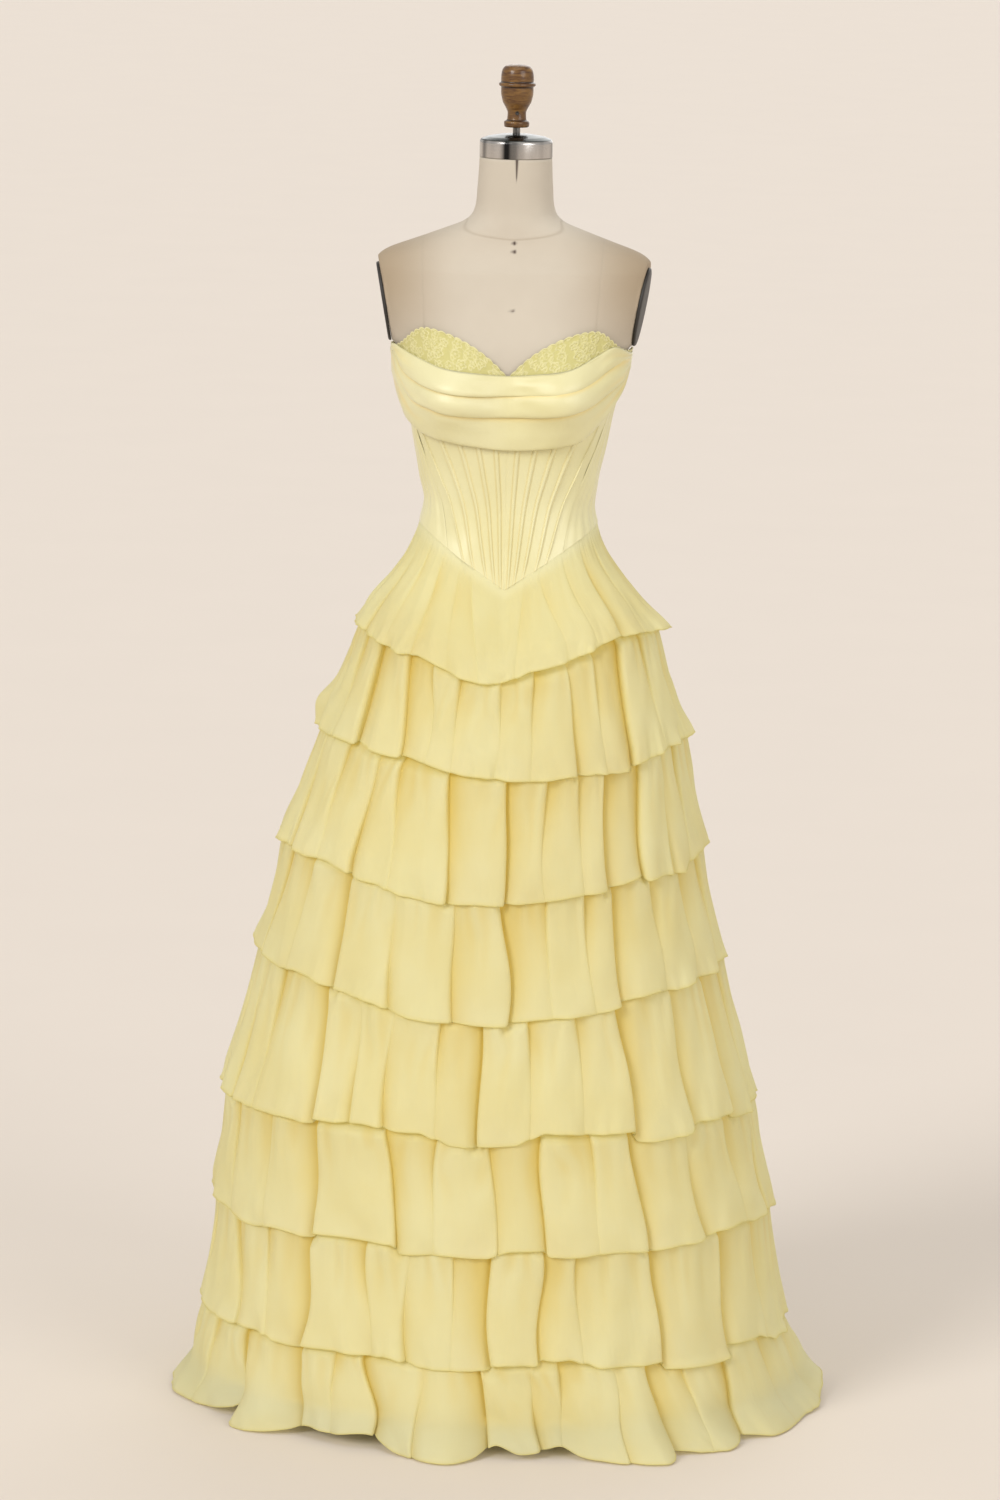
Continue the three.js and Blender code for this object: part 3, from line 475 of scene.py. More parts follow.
def woven_group():
    """The height of threads that cross."""
    tree, given, result = shader_group(
        "woven threads",
        [("Vector", "NodeSocketVector", None), ("Threads per metre", "NodeSocketFloat", 2000.0),
         ("Unevenness", "NodeSocketFloat", 0.3)],
        [("Height", "NodeSocketFloat")])
    vector, threads, uneven = given.outputs[:3]
    wobble = add_node(tree, "TexNoise", Vector=vector, Scale=300.0, Detail=2.0)
    parts = add_node(tree, "SeparateXYZ", Vector=vector)
    waves = []
    for axis in (0, 1):
        turned = add_node(tree, "Math", {"operation": "MULTIPLY"}, i0=parts.outputs[axis],
                          i1=threads)
        shaken = add_node(tree, "Math", {"operation": "MULTIPLY"}, i0=wobble.outputs[0],
                          i1=uneven)
        spun = add_node(tree, "Math", {"operation": "MULTIPLY_ADD"}, i0=turned.outputs[0],
                        i1=6.2832, i2=shaken.outputs[0])
        wave = add_node(tree, "Math", {"operation": "SINE"}, i0=spun.outputs[0])
        waves.append(add_node(tree, "Math", {"operation": "ABSOLUTE"}, i0=wave.outputs[0]))
    height = add_node(tree, "Math", {"operation": "MULTIPLY"}, i0=waves[0].outputs[0],
                      i1=waves[1].outputs[0])
    tree.links.new(height.outputs[0], result.inputs[0])
    return tree


def blotch_group():
    """Broad uneven colour and soft creases."""
    tree, given, result = shader_group(
        "uneven cloth",
        [("Vector", "NodeSocketVector", None), ("Light", "NodeSocketColor", (1, 1, 1, 1)),
         ("Deep", "NodeSocketColor", (0.5, 0.5, 0.5, 1)), ("Scale", "NodeSocketFloat", 12.0)],
        [("Color", "NodeSocketColor"), ("Creases", "NodeSocketFloat")])
    vector, light, deep, scale = given.outputs[:4]
    broad = add_node(tree, "TexNoise", Vector=vector, Scale=scale, Detail=3.0)
    shade = add_node(tree, "MapRange", Value=broad.outputs[0], From_Min=0.35, From_Max=0.65)
    color = blend(tree, shade.outputs[0], light, deep)
    creases = add_node(tree, "TexNoise", {"noise_type": "RIDGED_MULTIFRACTAL"}, Vector=vector,
                       Scale=18.0, Detail=4.0)
    tree.links.new(color, result.inputs[0])
    tree.links.new(creases.outputs[0], result.inputs[1])
    return tree


WOVEN = woven_group()
UNEVEN = blotch_group()


def use_group(tree, group, **values):
    node = tree.nodes.new("ShaderNodeGroup")
    node.node_tree = group
    return set_inputs(tree, node, values)


def new_finish(name, roughness, **constants):
    finish = bpy.data.materials.new(name)
    finish.use_nodes = True
    tree = finish.node_tree
    shader = tree.nodes["Principled BSDF"]
    shader.inputs["Roughness"].default_value = roughness
    for key, value in constants.items():
        shader.inputs[key.replace("_", " ")].default_value = value
    return finish, tree, shader


def bump(tree, shader, *layers):
    """Stacks bump layers of (height, strength, distance)."""
    normal = None
    for height, strength, distance in layers:
        node = add_node(tree, "Bump", Height=height, Strength=strength, Distance=distance)
        if normal is not None:
            tree.links.new(normal, node.inputs["Normal"])
        normal = node.outputs["Normal"]
    tree.links.new(normal, shader.inputs["Normal"])
    return normal


def cloth_finish(name, light, deep, roughness, threads, thread_depth, crease_depth, marks=(),
                 see_through=0.0, **constants):
    """marks are (attribute, colour) pairs that tint the cloth where they are 1."""
    finish, tree, shader = new_finish(name, roughness, **constants)
    cut = add_node(tree, "UVMap", {"uv_map": "cut"})
    place = add_node(tree, "TexCoord")
    uneven = use_group(tree, UNEVEN, Vector=place.outputs["Object"], Light=light, Deep=deep,
                       Scale=9.0)
    color = uneven.outputs["Color"]
    for label, tint in marks:
        color = blend(tree, marked(tree, label), color, tint)
    tree.links.new(color, shader.inputs["Base Color"])
    woven = use_group(tree, WOVEN, Vector=cut.outputs[0], Threads_per_metre=threads)
    gathers = stretched_noise(tree, cut.outputs[0], (110, 9, 1), Detail=2.0)
    normal = bump(tree, shader, (uneven.outputs["Creases"], 0.5, crease_depth),
                  (gathers, 0.5, crease_depth * 0.8),
                  (woven.outputs["Height"], 0.5, thread_depth))
    if see_through:
        # Less light comes through where the cloth is sewn down
        through = add_node(tree, "BsdfTranslucent", Color=color, Normal=normal)
        part_through = add_node(tree, "Math", {"operation": "MULTIPLY_ADD"},
                                i0=marked(tree, "sewn"), i1=-see_through, i2=see_through)
        both = add_node(tree, "MixShader", i0=part_through.outputs[0], i1=shader.outputs[0],
                        i2=through.outputs[0])
        output = tree.nodes["Material Output"]
        tree.links.new(both.outputs[0], output.inputs["Surface"])
    return finish


def lace_finish():
    finish, tree, shader = new_finish("corded lace", 0.75, Sheen_Weight=0.2)
    cut = add_node(tree, "UVMap", {"uv_map": "cut"})
    color = blend(tree, marked(tree, "cord"), (0.6, 0.545, 0.21, 1), (0.8, 0.74, 0.4, 1))
    tree.links.new(color, shader.inputs["Base Color"])
    woven = use_group(tree, WOVEN, Vector=cut.outputs[0], Threads_per_metre=420.0)
    bump(tree, shader, (woven.outputs["Height"], 0.6, 0.0004))
    return finish


def steel_finish():
    finish, tree, shader = new_finish("brushed steel", 0.23, Metallic=1.0)
    place = add_node(tree, "TexCoord")
    # Painted reflections: the base colour runs in dark and bright upright streaks.
    painted_reflection_streaks = stretched_noise(tree, place.outputs["Object"], (34, 34, 0.5), Detail=1.5)
    shade = add_node(tree, "MapRange", Value=painted_reflection_streaks, From_Min=0.42, From_Max=0.58)
    tone = blend(tree, shade.outputs[0], (0.02, 0.02, 0.02, 1), (0.56, 0.53, 0.5, 1))
    # The marked rings paint the cap's top dark, a painted reflection.
    tone = blend(tree, marked(tree, "groove"), tone, (0.035, 0.042, 0.038, 1))
    tree.links.new(tone, shader.inputs["Base Color"])
    grain = stretched_noise(tree, place.outputs["Object"], (30, 30, 2500), Detail=3.0)
    bump(tree, shader, (grain, 0.3, 0.0002))
    return finish


def wood_finish():
    finish, tree, shader = new_finish("varnished wood", 0.38, Coat_Weight=0.4,
                                      Coat_Roughness=0.14, Specular_IOR_Level=0.3)
    place = add_node(tree, "TexCoord")
    grain = stretched_noise(tree, place.outputs["Object"], (45, 45, 210), Detail=5.0,
                            Distortion=1.2)
    shade = add_node(tree, "MapRange", Value=grain, From_Min=0.35, From_Max=0.7)
    tone = blend(tree, shade.outputs[0], (0.08, 0.03, 0.006, 1), (0.23, 0.115, 0.026, 1))
    # Painted shade: dark rings in the inner corners of the turning.
    tone = blend(tree, marked(tree, "groove"), tone, (0.02, 0.008, 0.004, 1))
    tree.links.new(tone, shader.inputs["Base Color"])
    bump(tree, shader, (grain, 0.15, 0.0003))
    return finish


def plain_finish(name, low, high, roughness, grain_scale=900.0, **constants):
    finish, tree, shader = new_finish(name, roughness, **constants)
    place = add_node(tree, "TexCoord")
    grain = add_node(tree, "TexNoise", Vector=place.outputs["Object"], Scale=grain_scale,
                     Detail=3.0)
    tree.links.new(blend(tree, grain.outputs[0], low, high), shader.inputs["Base Color"])
    bump(tree, shader, (grain.outputs[0], 0.2, 0.0002))
    return finish


# The satin's deep mark is painted shade: golden under the drape's fold lips and darker in the
# bodice's channel grooves.
satin = cloth_finish("yellow satin", (0.75, 0.7, 0.41, 1), (0.71, 0.65, 0.345, 1), 0.31,
                     2600.0, 0.00005, 0.0005, Specular_IOR_Level=0.5, Sheen_Weight=0.1,
                     marks=[("deep", (0.8, 0.58, 0.16, 1))])
# The chiffon's deep mark is painted shade, golden in the valleys of its folds; its edge mark is
# the deeper colour of the rolled hems.
chiffon = cloth_finish("yellow chiffon", (0.905, 0.87, 0.54, 1), (0.885, 0.83, 0.47, 1), 0.85,
                       1500.0, 0.0001, 0.0011, see_through=0.45, Sheen_Weight=0.1,
                       marks=[("deep", (0.84, 0.655, 0.16, 1)), ("edge", (0.86, 0.79, 0.38, 1))])
lining = cloth_finish("yellow lining", (0.85, 0.76, 0.4, 1), (0.82, 0.72, 0.35, 1), 0.7,
                      1800.0, 0.0001, 0.0008)
# Painted shade on the linen: darker towards the sides of the shoulders, and a dark slit under the
# neck cap; its seams and dots are its own colour.
linen = cloth_finish("natural linen", (0.62, 0.553, 0.453, 1), (0.575, 0.508, 0.412, 1), 0.85,
                     900.0, 0.0002, 0.0003,
                     marks=[("painted_side_shade", (0.38, 0.29, 0.19, 1)), ("seam", (0.44, 0.37, 0.28, 1)),
                            ("dots_and_slit_shade", (0.03, 0.008, 0.006, 1))])
lace = lace_finish()
steel = steel_finish()
wood = wood_finish()
dark = plain_finish("dark grey plate", (0.014, 0.011, 0.009, 1), (0.03, 0.025, 0.02, 1), 0.5)
enamel = plain_finish("yellow enamel", (0.8, 0.7, 0.3, 1), (0.86, 0.77, 0.37, 1), 0.35)


# The form and its stand

def arm_plane(side):
    lean, turn = math.radians(ARM_PLATE["lean"]), math.radians(ARM_PLATE["turn"])
    facing = np.array([side * math.cos(lean) * math.cos(turn), -math.sin(turn), -math.sin(lean)])
    middle = np.array([side * ARM_PLATE["x"], ARM_PLATE["y"], ARM_PLATE["z"]], float)
    return facing / np.linalg.norm(facing), middle


def plate_axes(facing):
    """The directions across and up a plate."""
    across = np.cross([0, 0, 1], facing)
    across = across / np.linalg.norm(across)
    return across, np.cross(facing, across)


def make_form():
    bands = [(FORM_SECTIONS[0, 0], 1380, 22), (1380, 1480, 30), (1480, 1565, 46),
             (1565, 1622, 58), (1622, FORM_SECTIONS[-1, 0], 24)]
    heights = np.concatenate([np.linspace(a, b, n, endpoint=False) for a, b, n in bands]
                             + [[FORM_SECTIONS[-1, 0]]])
    rows = len(heights)
    turns = np.concatenate([np.linspace(-180, -62, 64, endpoint=False),
                            np.linspace(-62, 62, 168, endpoint=False),
                            np.linspace(62, 180, 64, endpoint=False)])
    columns = len(turns)
    turn, z = np.meshgrid(turns, heights, indexing="ij")
    points = np.stack([*skin(turn, z), z], -1)

    # Seams: round the neck's base and over each side of the chest
    x = points[..., 0]
    neck = 1587 + 22 * np.clip(np.abs(turn) / 75, 0, 1) ** 1.2
    neck = np.where(np.abs(turn) > 75, 1609 + 8 * smooth((np.abs(turn) - 75) / 60), neck)
    seam = np.exp(-((z - neck) / 1.1) ** 2)
    below = z < neck
    side_seam = 114 + (z - 1474) * 0.06
    seam = np.maximum(0.6 * seam, 0.5 * np.exp(-((np.abs(x) - side_seam) / 1.3) ** 2) * below
                      * (z > 1380))
    flat = cloth(turn, z, -0.8 * seam)
    flat[..., 2] = z
    points = np.where((seam > 0.02)[..., None], flat, points)
    dots_and_slit_shade = np.zeros(z.shape)
    for at_z, size in ((1583, 2.7), (1572, 2.7), (1497, 2.3)):
        dots_and_slit_shade = np.maximum(dots_and_slit_shade, np.exp(-(((x - 2.5) / size) ** 2 + ((z - at_z) / size) ** 2) ** 2)
                          * (np.abs(turn) < 40))
    # A slit under the neck cap, painted dark as the shade inside it; it shares the dots' mark.
    slit = np.exp(-((x - 3.5) / (0.35 + 0.05 * np.clip(z - 1660, 0, 40))) ** 2)
    slit = slit * smooth((z - 1660) / 10) * (np.abs(turn) < 40)
    # Painted shade: the linen darkens towards the sides of the shoulders, and a little all over.
    painted_side_shade = 0.85 * smooth((np.abs(x) - 50) / 125) * smooth((z - 1420) / 110) + 0.1
    for side in (-1, 1):
        facing, middle = arm_plane(side)
        past = (points - middle) @ facing
        cut = (past > 0) & (points[..., 2] > ARM_PLATE["z"] - 70) & (points[..., 0] * side > 0)
        points[..., 0] = np.where(cut, points[..., 0] - past / facing[0], points[..., 0])
        across, up = plate_axes(facing)
        from_rim = np.hypot((points - middle) @ across / (ARM_PLATE["wide"] / 2),
                            (points - middle) @ up / (ARM_PLATE["tall"] / 2))
        fill = smooth((1.07 - from_rim) / 0.09) * (past < 0) * (past > -30)
        fill = fill * (points[..., 0] * side > 0)
        points[..., 0] = points[..., 0] - (past + 0.2) / facing[0] * fill
    faces = grid_faces(columns, rows, True)
    faces.append(tuple(i * rows for i in range(columns))[::-1])
    faces.append(tuple(i * rows + rows - 1 for i in range(columns)))
    uv = np.stack([turn * 0.0022, z * MM], -1).reshape(-1, 2)
    make_piece("form_cover", points.reshape(-1, 3), faces, linen, "form_linen",
               replaces=["form_torso"], flat_uv=uv,
               marks={"seam": seam, "painted_side_shade": painted_side_shade, "dots_and_slit_shade": np.maximum(dots_and_slit_shade, slit)})


def make_arm_plates():
    for side, word in ((-1, "left"), (1, "right")):
        facing, middle = arm_plane(side)
        across, up = plate_axes(facing)
        rings = [(1.0, 0.3), (1.0, 2.8), (0.98, 3.8), (0.95, 4.3), (0.5, 4.3), (0.03, 4.3)]
        sides = 72
        angles = np.linspace(0, 2 * np.pi, sides, endpoint=False)
        points = []
        for scale, out in rings:
            a = ARM_PLATE["wide"] / 2 * scale * np.cos(angles)
            b = ARM_PLATE["tall"] / 2 * scale * np.sin(angles)
            points.append(middle + np.outer(a, across) + np.outer(b, up) + facing * out)
        make_piece(f"arm_cover_{word}", np.concatenate(points), ring_faces(len(rings), sides),
                   dark, "form_plates", replaces=[f"arm_plate_{word}"])


def make_turned(name, profile, finish, slot, node, sides=64, soft=1.0, painted_dark_lines=()):
    points, faces = turned_points(softened(profile, soft), sides)
    # Rings painted dark at the given heights: painted shade in the wood's inner corners, and a
    # painted dark reflection over the steel cap's top.
    mark = np.zeros(len(points))
    for z in painted_dark_lines:
        mark = np.maximum(mark, np.exp(-((points[:, 2] - z) / 1.1) ** 2))
    return make_piece(name, points, faces, finish, slot, replaces=[node],
                      marks={"groove": mark})


def make_hardware():
    make_turned("steel_cap", [(0.5, 1692.4), (48.4, 1692.4), (48.4, 1713), (46.8, 1716.2),
                              (38, 1719.6), (22, 1722.4), (5.2, 1723.6), (0.5, 1723.6)],
                steel, "form_steel", "neck_cap", 96, 1.4,
                painted_dark_lines=(1716.4, 1717.6, 1718.8, 1720, 1721.2, 1722.4, 1723.6))
    make_turned("steel_stem", [(0.5, 1719.1), (5, 1719.1), (5, 1731.6), (0.5, 1731.6)],
                steel, "form_steel", "finial_stem", 32, 0.5)
    outline = [(0.5, 0), (16.5, 0), (17, 7.5), (12.8, 9.5), (12.1, 20), (15, 26), (19, 33),
               (21.4, 43), (21.6, 50), (21.4, 53.4), (24.4, 54.6), (24.4, 58.0), (21.4, 59.4),
               (21.8, 62), (21.6, 69), (20.2, 76), (16.5, 80.5), (9, 82.6), (0.5, 83.2)]
    knob_foot = 1731.9
    knob = [(r, z + knob_foot) for r, z in outline]
    make_turned("wood_finial", knob, wood, "finial_wood", "finial", 72, 2.2,
                painted_dark_lines=(knob_foot + 53.2, knob_foot + 59.6, knob_foot + 9))
    sides = 20
    angles = np.linspace(0, 2 * np.pi, sides, endpoint=False)
    rims = [(2.6, -11.6), (2.6, -12.9), (2.1, -13.1), (1.9, -12.6), (0.2, -12.5)]
    hole = np.concatenate([np.stack([r * np.cos(angles) + 1, np.full(sides, y),
                                     r * np.sin(angles) + 1751], -1) for r, y in rims])
    make_piece("finial_screw", hole, ring_faces(len(rims), sides, closed=False), dark,
               "finial_wood")
    make_turned("base_disc", [(0.5, 0), (189, 0), (190, 1.5), (190, 7), (187, 10), (36, 12),
                              (22, 46), (0.5, 46)], dark, "stand_paint", "stand_base", 96, 1.5)
    make_turned("steel_pole", [(0.5, 46.3), (14, 46.3), (14, 873.4), (0.5, 873.4)],
                steel, "stand_steel", "stand_pole", 48, 0.8)
    make_turned("pole_collar", [(0.5, 873.7), (20, 873.7), (24, 878), (24, 899.7), (0.5, 899.7)],
                dark, "stand_paint", "stand_collar", 48, 1.2)


# The bodice

def row_arc(points):
    """Distance along each row of a panel, in millimetres."""
    steps = np.linalg.norm(np.diff(points, axis=0), axis=2)
    return np.concatenate([np.zeros((1, points.shape[1])), np.cumsum(steps, axis=0)])


def waist_flare(turn):
    """How far the bodice's lower edge stands off at the sides and back."""
    return 2.2 * np.abs(np.sin(np.radians(turn))) ** 1.5


def join_height(turn):
    """Where satin meets lace, under the drape."""
    return BODICE_JOIN + 70 * smooth((np.abs(turn) - 50) / 38)


def panel_points(top, bottom, rows, top_height, rise=0.0):
    share = np.linspace(0, 1, rows)
    low = waist_height(bottom)
    high = top_height(top)
    z = low[:, None] + (high - low)[:, None] * share
    turn = bottom[:, None] + (top - bottom)[:, None] * share
    flare = waist_flare(bottom)[:, None] * (1 - smooth((z - low[:, None]) / 26))
    return cloth(turn, z, CLEAR + SATIN + flare + rise), turn, z


def make_bodice():
    lines = [(0, 0)] + CHANNELS + [PRINCESS]
    tops = np.array([-t for t, _ in lines[:0:-1]] + [t for t, _ in lines], float)
    lows = np.array([-b for _, b in lines[:0:-1]] + [b for _, b in lines], float)
    place = np.arange(len(tops), dtype=float)
    rows = 105
    fine = np.linspace(0, len(tops) - 1, 481)
    top, bottom = np.interp(fine, place, tops), np.interp(fine, place, lows)
    top = np.clip(top, -PRINCESS[0] + SEAM_TURN, PRINCESS[0] - SEAM_TURN)
    bottom = np.clip(bottom, -PRINCESS[1] + SEAM_TURN, PRINCESS[1] - SEAM_TURN)
    points, turn, z = panel_points(top, bottom, rows, join_height)
    arc = row_arc(points)
    rise = np.zeros(arc.shape)
    painted_dark_lines = np.zeros(arc.shape)
    half = mix(1.9, 3.2, np.linspace(0, 1, rows))[None, :]
    shown = 1 - smooth((z - BODICE_JOIN + 12) / 20)
    sewn_down = mix(0.3, 1, smooth((z - z[:, :1]) / 22))
    for line in place[1:-1]:
        k = int(line / (len(tops) - 1) * 480 + 0.5)
        away = arc - arc[k][None, :]
        if line == len(tops) // 2:
            rise -= 0.6 * np.exp(-(away / 0.8) ** 2)
            continue
        ridge = np.clip(1 - (away / half) ** 2, 0, 1) ** 0.6
        groove = np.exp(-((np.abs(away) - half - 0.4) / 0.9) ** 2)
        rise += (2.1 * ridge - 0.35 * groove) * shown * sewn_down
        # Painted shade: the stitch grooves beside each channel are tinted darker through the
        # satin's deep mark.
        painted_dark_lines = np.maximum(painted_dark_lines, 0.22 * groove)
    rise += 0.5 * ripple(11, turn * 0.5, z / 60)
    points, turn, z = panel_points(top, bottom, rows, join_height, rise)
    front = make_grid("bodice_front_panel", points, satin, "gown_satin", edge=0.3,
                      replaces=["bodice_front"], marks={"deep": painted_dark_lines})
    lay_on_form(front, points, area=cut_area(points))
    for side, word in ((-1, "left"), (1, "right")):
        share = np.linspace(0, 1, 70)
        top = side * mix(PRINCESS[0] + SEAM_TURN, SIDE_SEAM - SEAM_TURN, share)
        bottom = side * mix(PRINCESS[1] + SEAM_TURN, SIDE_SEAM - SEAM_TURN, share)
        up = np.linspace(0, 1, 110)[None, :]
        drag = np.sin(16 * up + 5 * share[:, None] + side) * np.exp(-((up - 0.2) / 0.16) ** 2)
        rise = 1.8 * drag * np.sin(np.pi * share)[:, None] ** 0.7
        rise = rise + 0.5 * ripple(12 + side, bottom[:, None], 2.5 * up)
        points = panel_points(top, bottom, 110, join_height, rise)[0][::side]
        panel = make_grid(f"bodice_side_panel_{word}", points, satin, "gown_satin", edge=0.6,
                          replaces=[f"bodice_side_{word}"])
        lay_on_form(panel, points)
        top = side * np.linspace(SIDE_SEAM + SEAM_TURN, 178, 120)
        rise = 0.5 * ripple(14 + side, top[:, None], np.linspace(0, 3, 100)[None, :])
        arc = np.abs(top[:, None]) * 2.2
        for seam in (126, 152):
            rise = rise - 0.6 * np.exp(-((arc - seam * 2.2) / 1.2) ** 2)
        points = panel_points(top, top, 100, neck_height, rise)[0]
        points[-1, :, 0] = side * (ZIP["half"] + 0.3)
        points = points[::side]
        panel = make_grid(f"bodice_back_panel_{word}", points, satin, "gown_satin", edge=0.6,
                          replaces=[f"bodice_back_{word}"])
        lay_on_form(panel, points)


def cord_pattern(across, along):
    """Corded flowers, leaves and vines: 1 on the cord, 0 on the net between."""
    pattern = np.zeros(across.shape)
    spacing = 16.0
    for i in range(-1, 16):
        for j in range(-1, 12):
            seed = i * 17 + j * 31
            cx = (i + 0.5 * (j % 2) + 0.5 * (scatter(seed) - 0.5)) * spacing
            cy = 1345 + (j + 0.5 * (scatter(seed + 5) - 0.5)) * spacing * 0.85
            dx, dy = across - cx, along - cy
            r = np.hypot(dx, dy)
            phi = np.arctan2(dy, dx) + scatter(seed + 9) * 6.28
            size = 4.8 + 2.3 * scatter(seed + 2)
            petal = size * (0.55 + 0.45 * np.abs(np.cos(2.5 * phi)))
            strength = 0.6 + 0.4 * scatter(seed + 3)
            pattern = np.maximum(pattern, strength * np.exp(-((r - petal) / 0.8) ** 2))
            pattern = np.maximum(pattern, np.exp(-((r - 1.2) / 0.6) ** 2))
            bend = 2.0 * np.sin(dx / 2.2 + seed)
            vine = np.exp(-((dy - bend - 4) / 0.7) ** 2) * np.exp(-(dx / 7) ** 4)
            pattern = np.maximum(pattern, 0.8 * vine)
            leaf = np.hypot(dx * 0.55 + dy * 0.5, dx * 0.9 - dy * 0.4 - 5.5)
            pattern = np.maximum(pattern, 0.7 * np.exp(-((leaf - 2.1) / 0.7) ** 2))
    return pattern


def make_cups():
    for side, word in ((-1, "left"), (1, "right")):
        columns, rows = 230, 150
        share = np.linspace(0, 1, columns)
        turn = side * mix(2 * SEAM_TURN, SIDE_SEAM - SEAM_TURN, share ** 0.95)
        base = cloth(turn[:, None], np.full((columns, rows), 1440.0), CLEAR)
        arc = row_arc(base)[:, :1]
        scallop = 2.6 * np.abs(np.sin(arc[:, 0] / 9.5 * math.pi)) ** 0.6
        top = neck_height(turn) + scallop - 0.8
        low = join_height(turn) + 0.3
        z = low[:, None] + (top - low)[:, None] * np.linspace(0, 1, rows)
        cords = cord_pattern(arc + np.zeros(z.shape), z)
        edge = np.exp(-((z - top[:, None] + 0.8) / 0.9) ** 2)
        cords = np.maximum(cords, edge)
        points = cloth(turn[:, None], z, CLEAR + SATIN + 0.1 + 1.2 * cords)[::side]
        cup = make_grid(f"cup_{word}_lace", points, lace, "gown_lace", edge=1.4,
                        replaces=[f"cup_{word}"], marks={"cord": cords[::side]})
        lay_on_form(cup, points)


def make_drape():
    """A band in overlapping folds that narrow to the side seams."""
    columns = 320
    turn = np.linspace(-100, 100, columns)
    lines = [curve_through(DRAPE_LINES[:, 0], DRAPE_LINES[:, k], turn) for k in range(1, 5)]
    base = CLEAR + SATIN + 1.8

    # How far each fold stands off: its lip rolls under at the bottom and thins to the top
    lobe = np.array([(0.3, 0.06), (0.14, 0.14), (0.02, 0.3), (-0.06, 0.55), (-0.08, 0.8),
                     (-0.05, 0.98), (0.01, 1.07), (0.1, 1.1), (0.24, 1.07), (0.42, 0.97),
                     (0.6, 0.83), (0.78, 0.66), (0.92, 0.48), (1.02, 0.34), (1.14, 0.2)])
    # Painted shade: a golden tint on the underside of each fold's lip and on the band just
    # beneath the lip above; the fine folds at the ends lighten it on their crests and darken it
    # in their hollows.
    shade = np.clip(1 - (lobe[:, 1] - 0.1) / 0.6, 0, 1) * (lobe[:, 0] < 0.5)
    under = 0.55 * np.exp(-((lobe[:, 0] - 0.97) / 0.1) ** 2)
    shade = np.maximum(shade, under)
    upper_lip = mix(1.0, 0.4, smooth((turn + 12) / 30))
    outs = [np.full(columns, 7.4), np.full(columns, 7.2), 5.6 * upper_lip + 1.2]
    rows, shades = [], []
    for k, out in enumerate(outs):
        tall = lines[k + 1] - lines[k]
        narrow = np.clip(tall / 24, 0.3, 1)
        for n, (share, reach) in enumerate(lobe):
            if k == 0 and n == 0:
                continue
            z = lines[k] + tall * share
            soft = 0.45 * ripple(31 + k, turn * 0.6, share * 2.5)
            pull = (0.7 * np.sin(turn / 13.0 + share * 4 + 2 * k)
                    * np.sin(np.pi * np.clip(share, 0, 1)))
            if k == 0:
                crease = np.exp(-((share - 0.55 - 0.1 * np.sin(turn / 30)) / 0.07) ** 2)
                pull = pull - 1.6 * crease * smooth((turn + 5) / 25)
            ends = smooth((np.abs(turn) - 42) / 30) * math.sin(math.pi * min(max(share, 0), 1))
            fine = ends * math.sin(2 * math.pi * (1.7 * share + 0.3 * k))
            rows.append(cloth(turn, z, base + (out * reach + soft + pull) * narrow + 1.1 * fine))
            shades.append(np.clip((0 if k == 2 and n > 7 else shade[n]) - 0.45 * fine, 0, 1))
    rows.append(cloth(turn, lines[3] + 0.6, np.full(columns, base)))
    shades.append(np.zeros(columns))
    points = np.stack(rows, axis=1)
    drape = make_grid("drape_band", points, satin, "gown_satin", edge=1.2,
                      replaces=["bust_drape"], marks={"deep": np.stack(shades, axis=1)})
    lay_on_form(drape, points)


# The skirt

# Where a hem stands out at the side: tier, turn, share of its fall, spread of each, out, up
WINGS = [
    (0, 86, 1.0, 9, 0.2, 15, 0),
    (1, -90, 0.8, 9, 0.12, 15, 0),
    (1, 88, 1.0, 8, 0.15, 9, 3),
    (3, -92, 1.0, 8, 0.15, 7, 0),
    (5, -88, 0.8, 9, 0.2, 6, 0),
]


def tier_valleys(tier):
    """Every valley round a tier: turns at seam and hem, depth, hem offset, overlap."""
    front = [list(row) for row in FOLDS[tier]]
    gap = (front[0][1] + 360 - front[-1][1]) / (BACK_FOLDS + 1)
    back = []
    for i in range(1, BACK_FOLDS + 1):
        at = front[-1][1] + gap * (i + 0.35 * (scatter(i * 5 + tier) - 0.5))
        lean = 6 * (scatter(i * 7 + tier * 3) - 0.5)
        back.append([at + lean, at, 0.5 + 0.9 * scatter(i * 3 + tier * 5), 6 * scatter(i + tier)])
    rows = np.array(front + back, float)
    laps = [1.0 if scatter(i * 13 + tier * 7) > 0.78 or tier > 2 and -46 < row[0] < -30
            or tier == 1 and 45 < row[0] < 55 else -1.0 for i, row in enumerate(rows)]
    return np.column_stack([rows, laps])


def hem_cap(points_turn, out, z):
    """For each half degree: the innermost reach and the height of a hem."""
    bins = np.round(np.mod(points_turn, 360) * 2).astype(int) % 720
    least = np.full(720, np.nan)
    level = np.full(720, np.nan)
    order = np.argsort(-out)
    least[bins[order]] = out[order]
    level[bins[order]] = z[order]
    known = ~np.isnan(least)
    spots = np.arange(720)
    least = np.interp(spots, spots[known], least[known], period=720)
    level = np.interp(spots, spots[known], level[known], period=720)
    around = [np.roll(least, k) for k in (-2, -1, 0, 1, 2)]
    return np.min(around, axis=0), level


def soft_least(a, b, softness):
    low = np.minimum(a, b)
    return low - softness * np.log1p(np.exp(-np.abs(a - b) / softness))


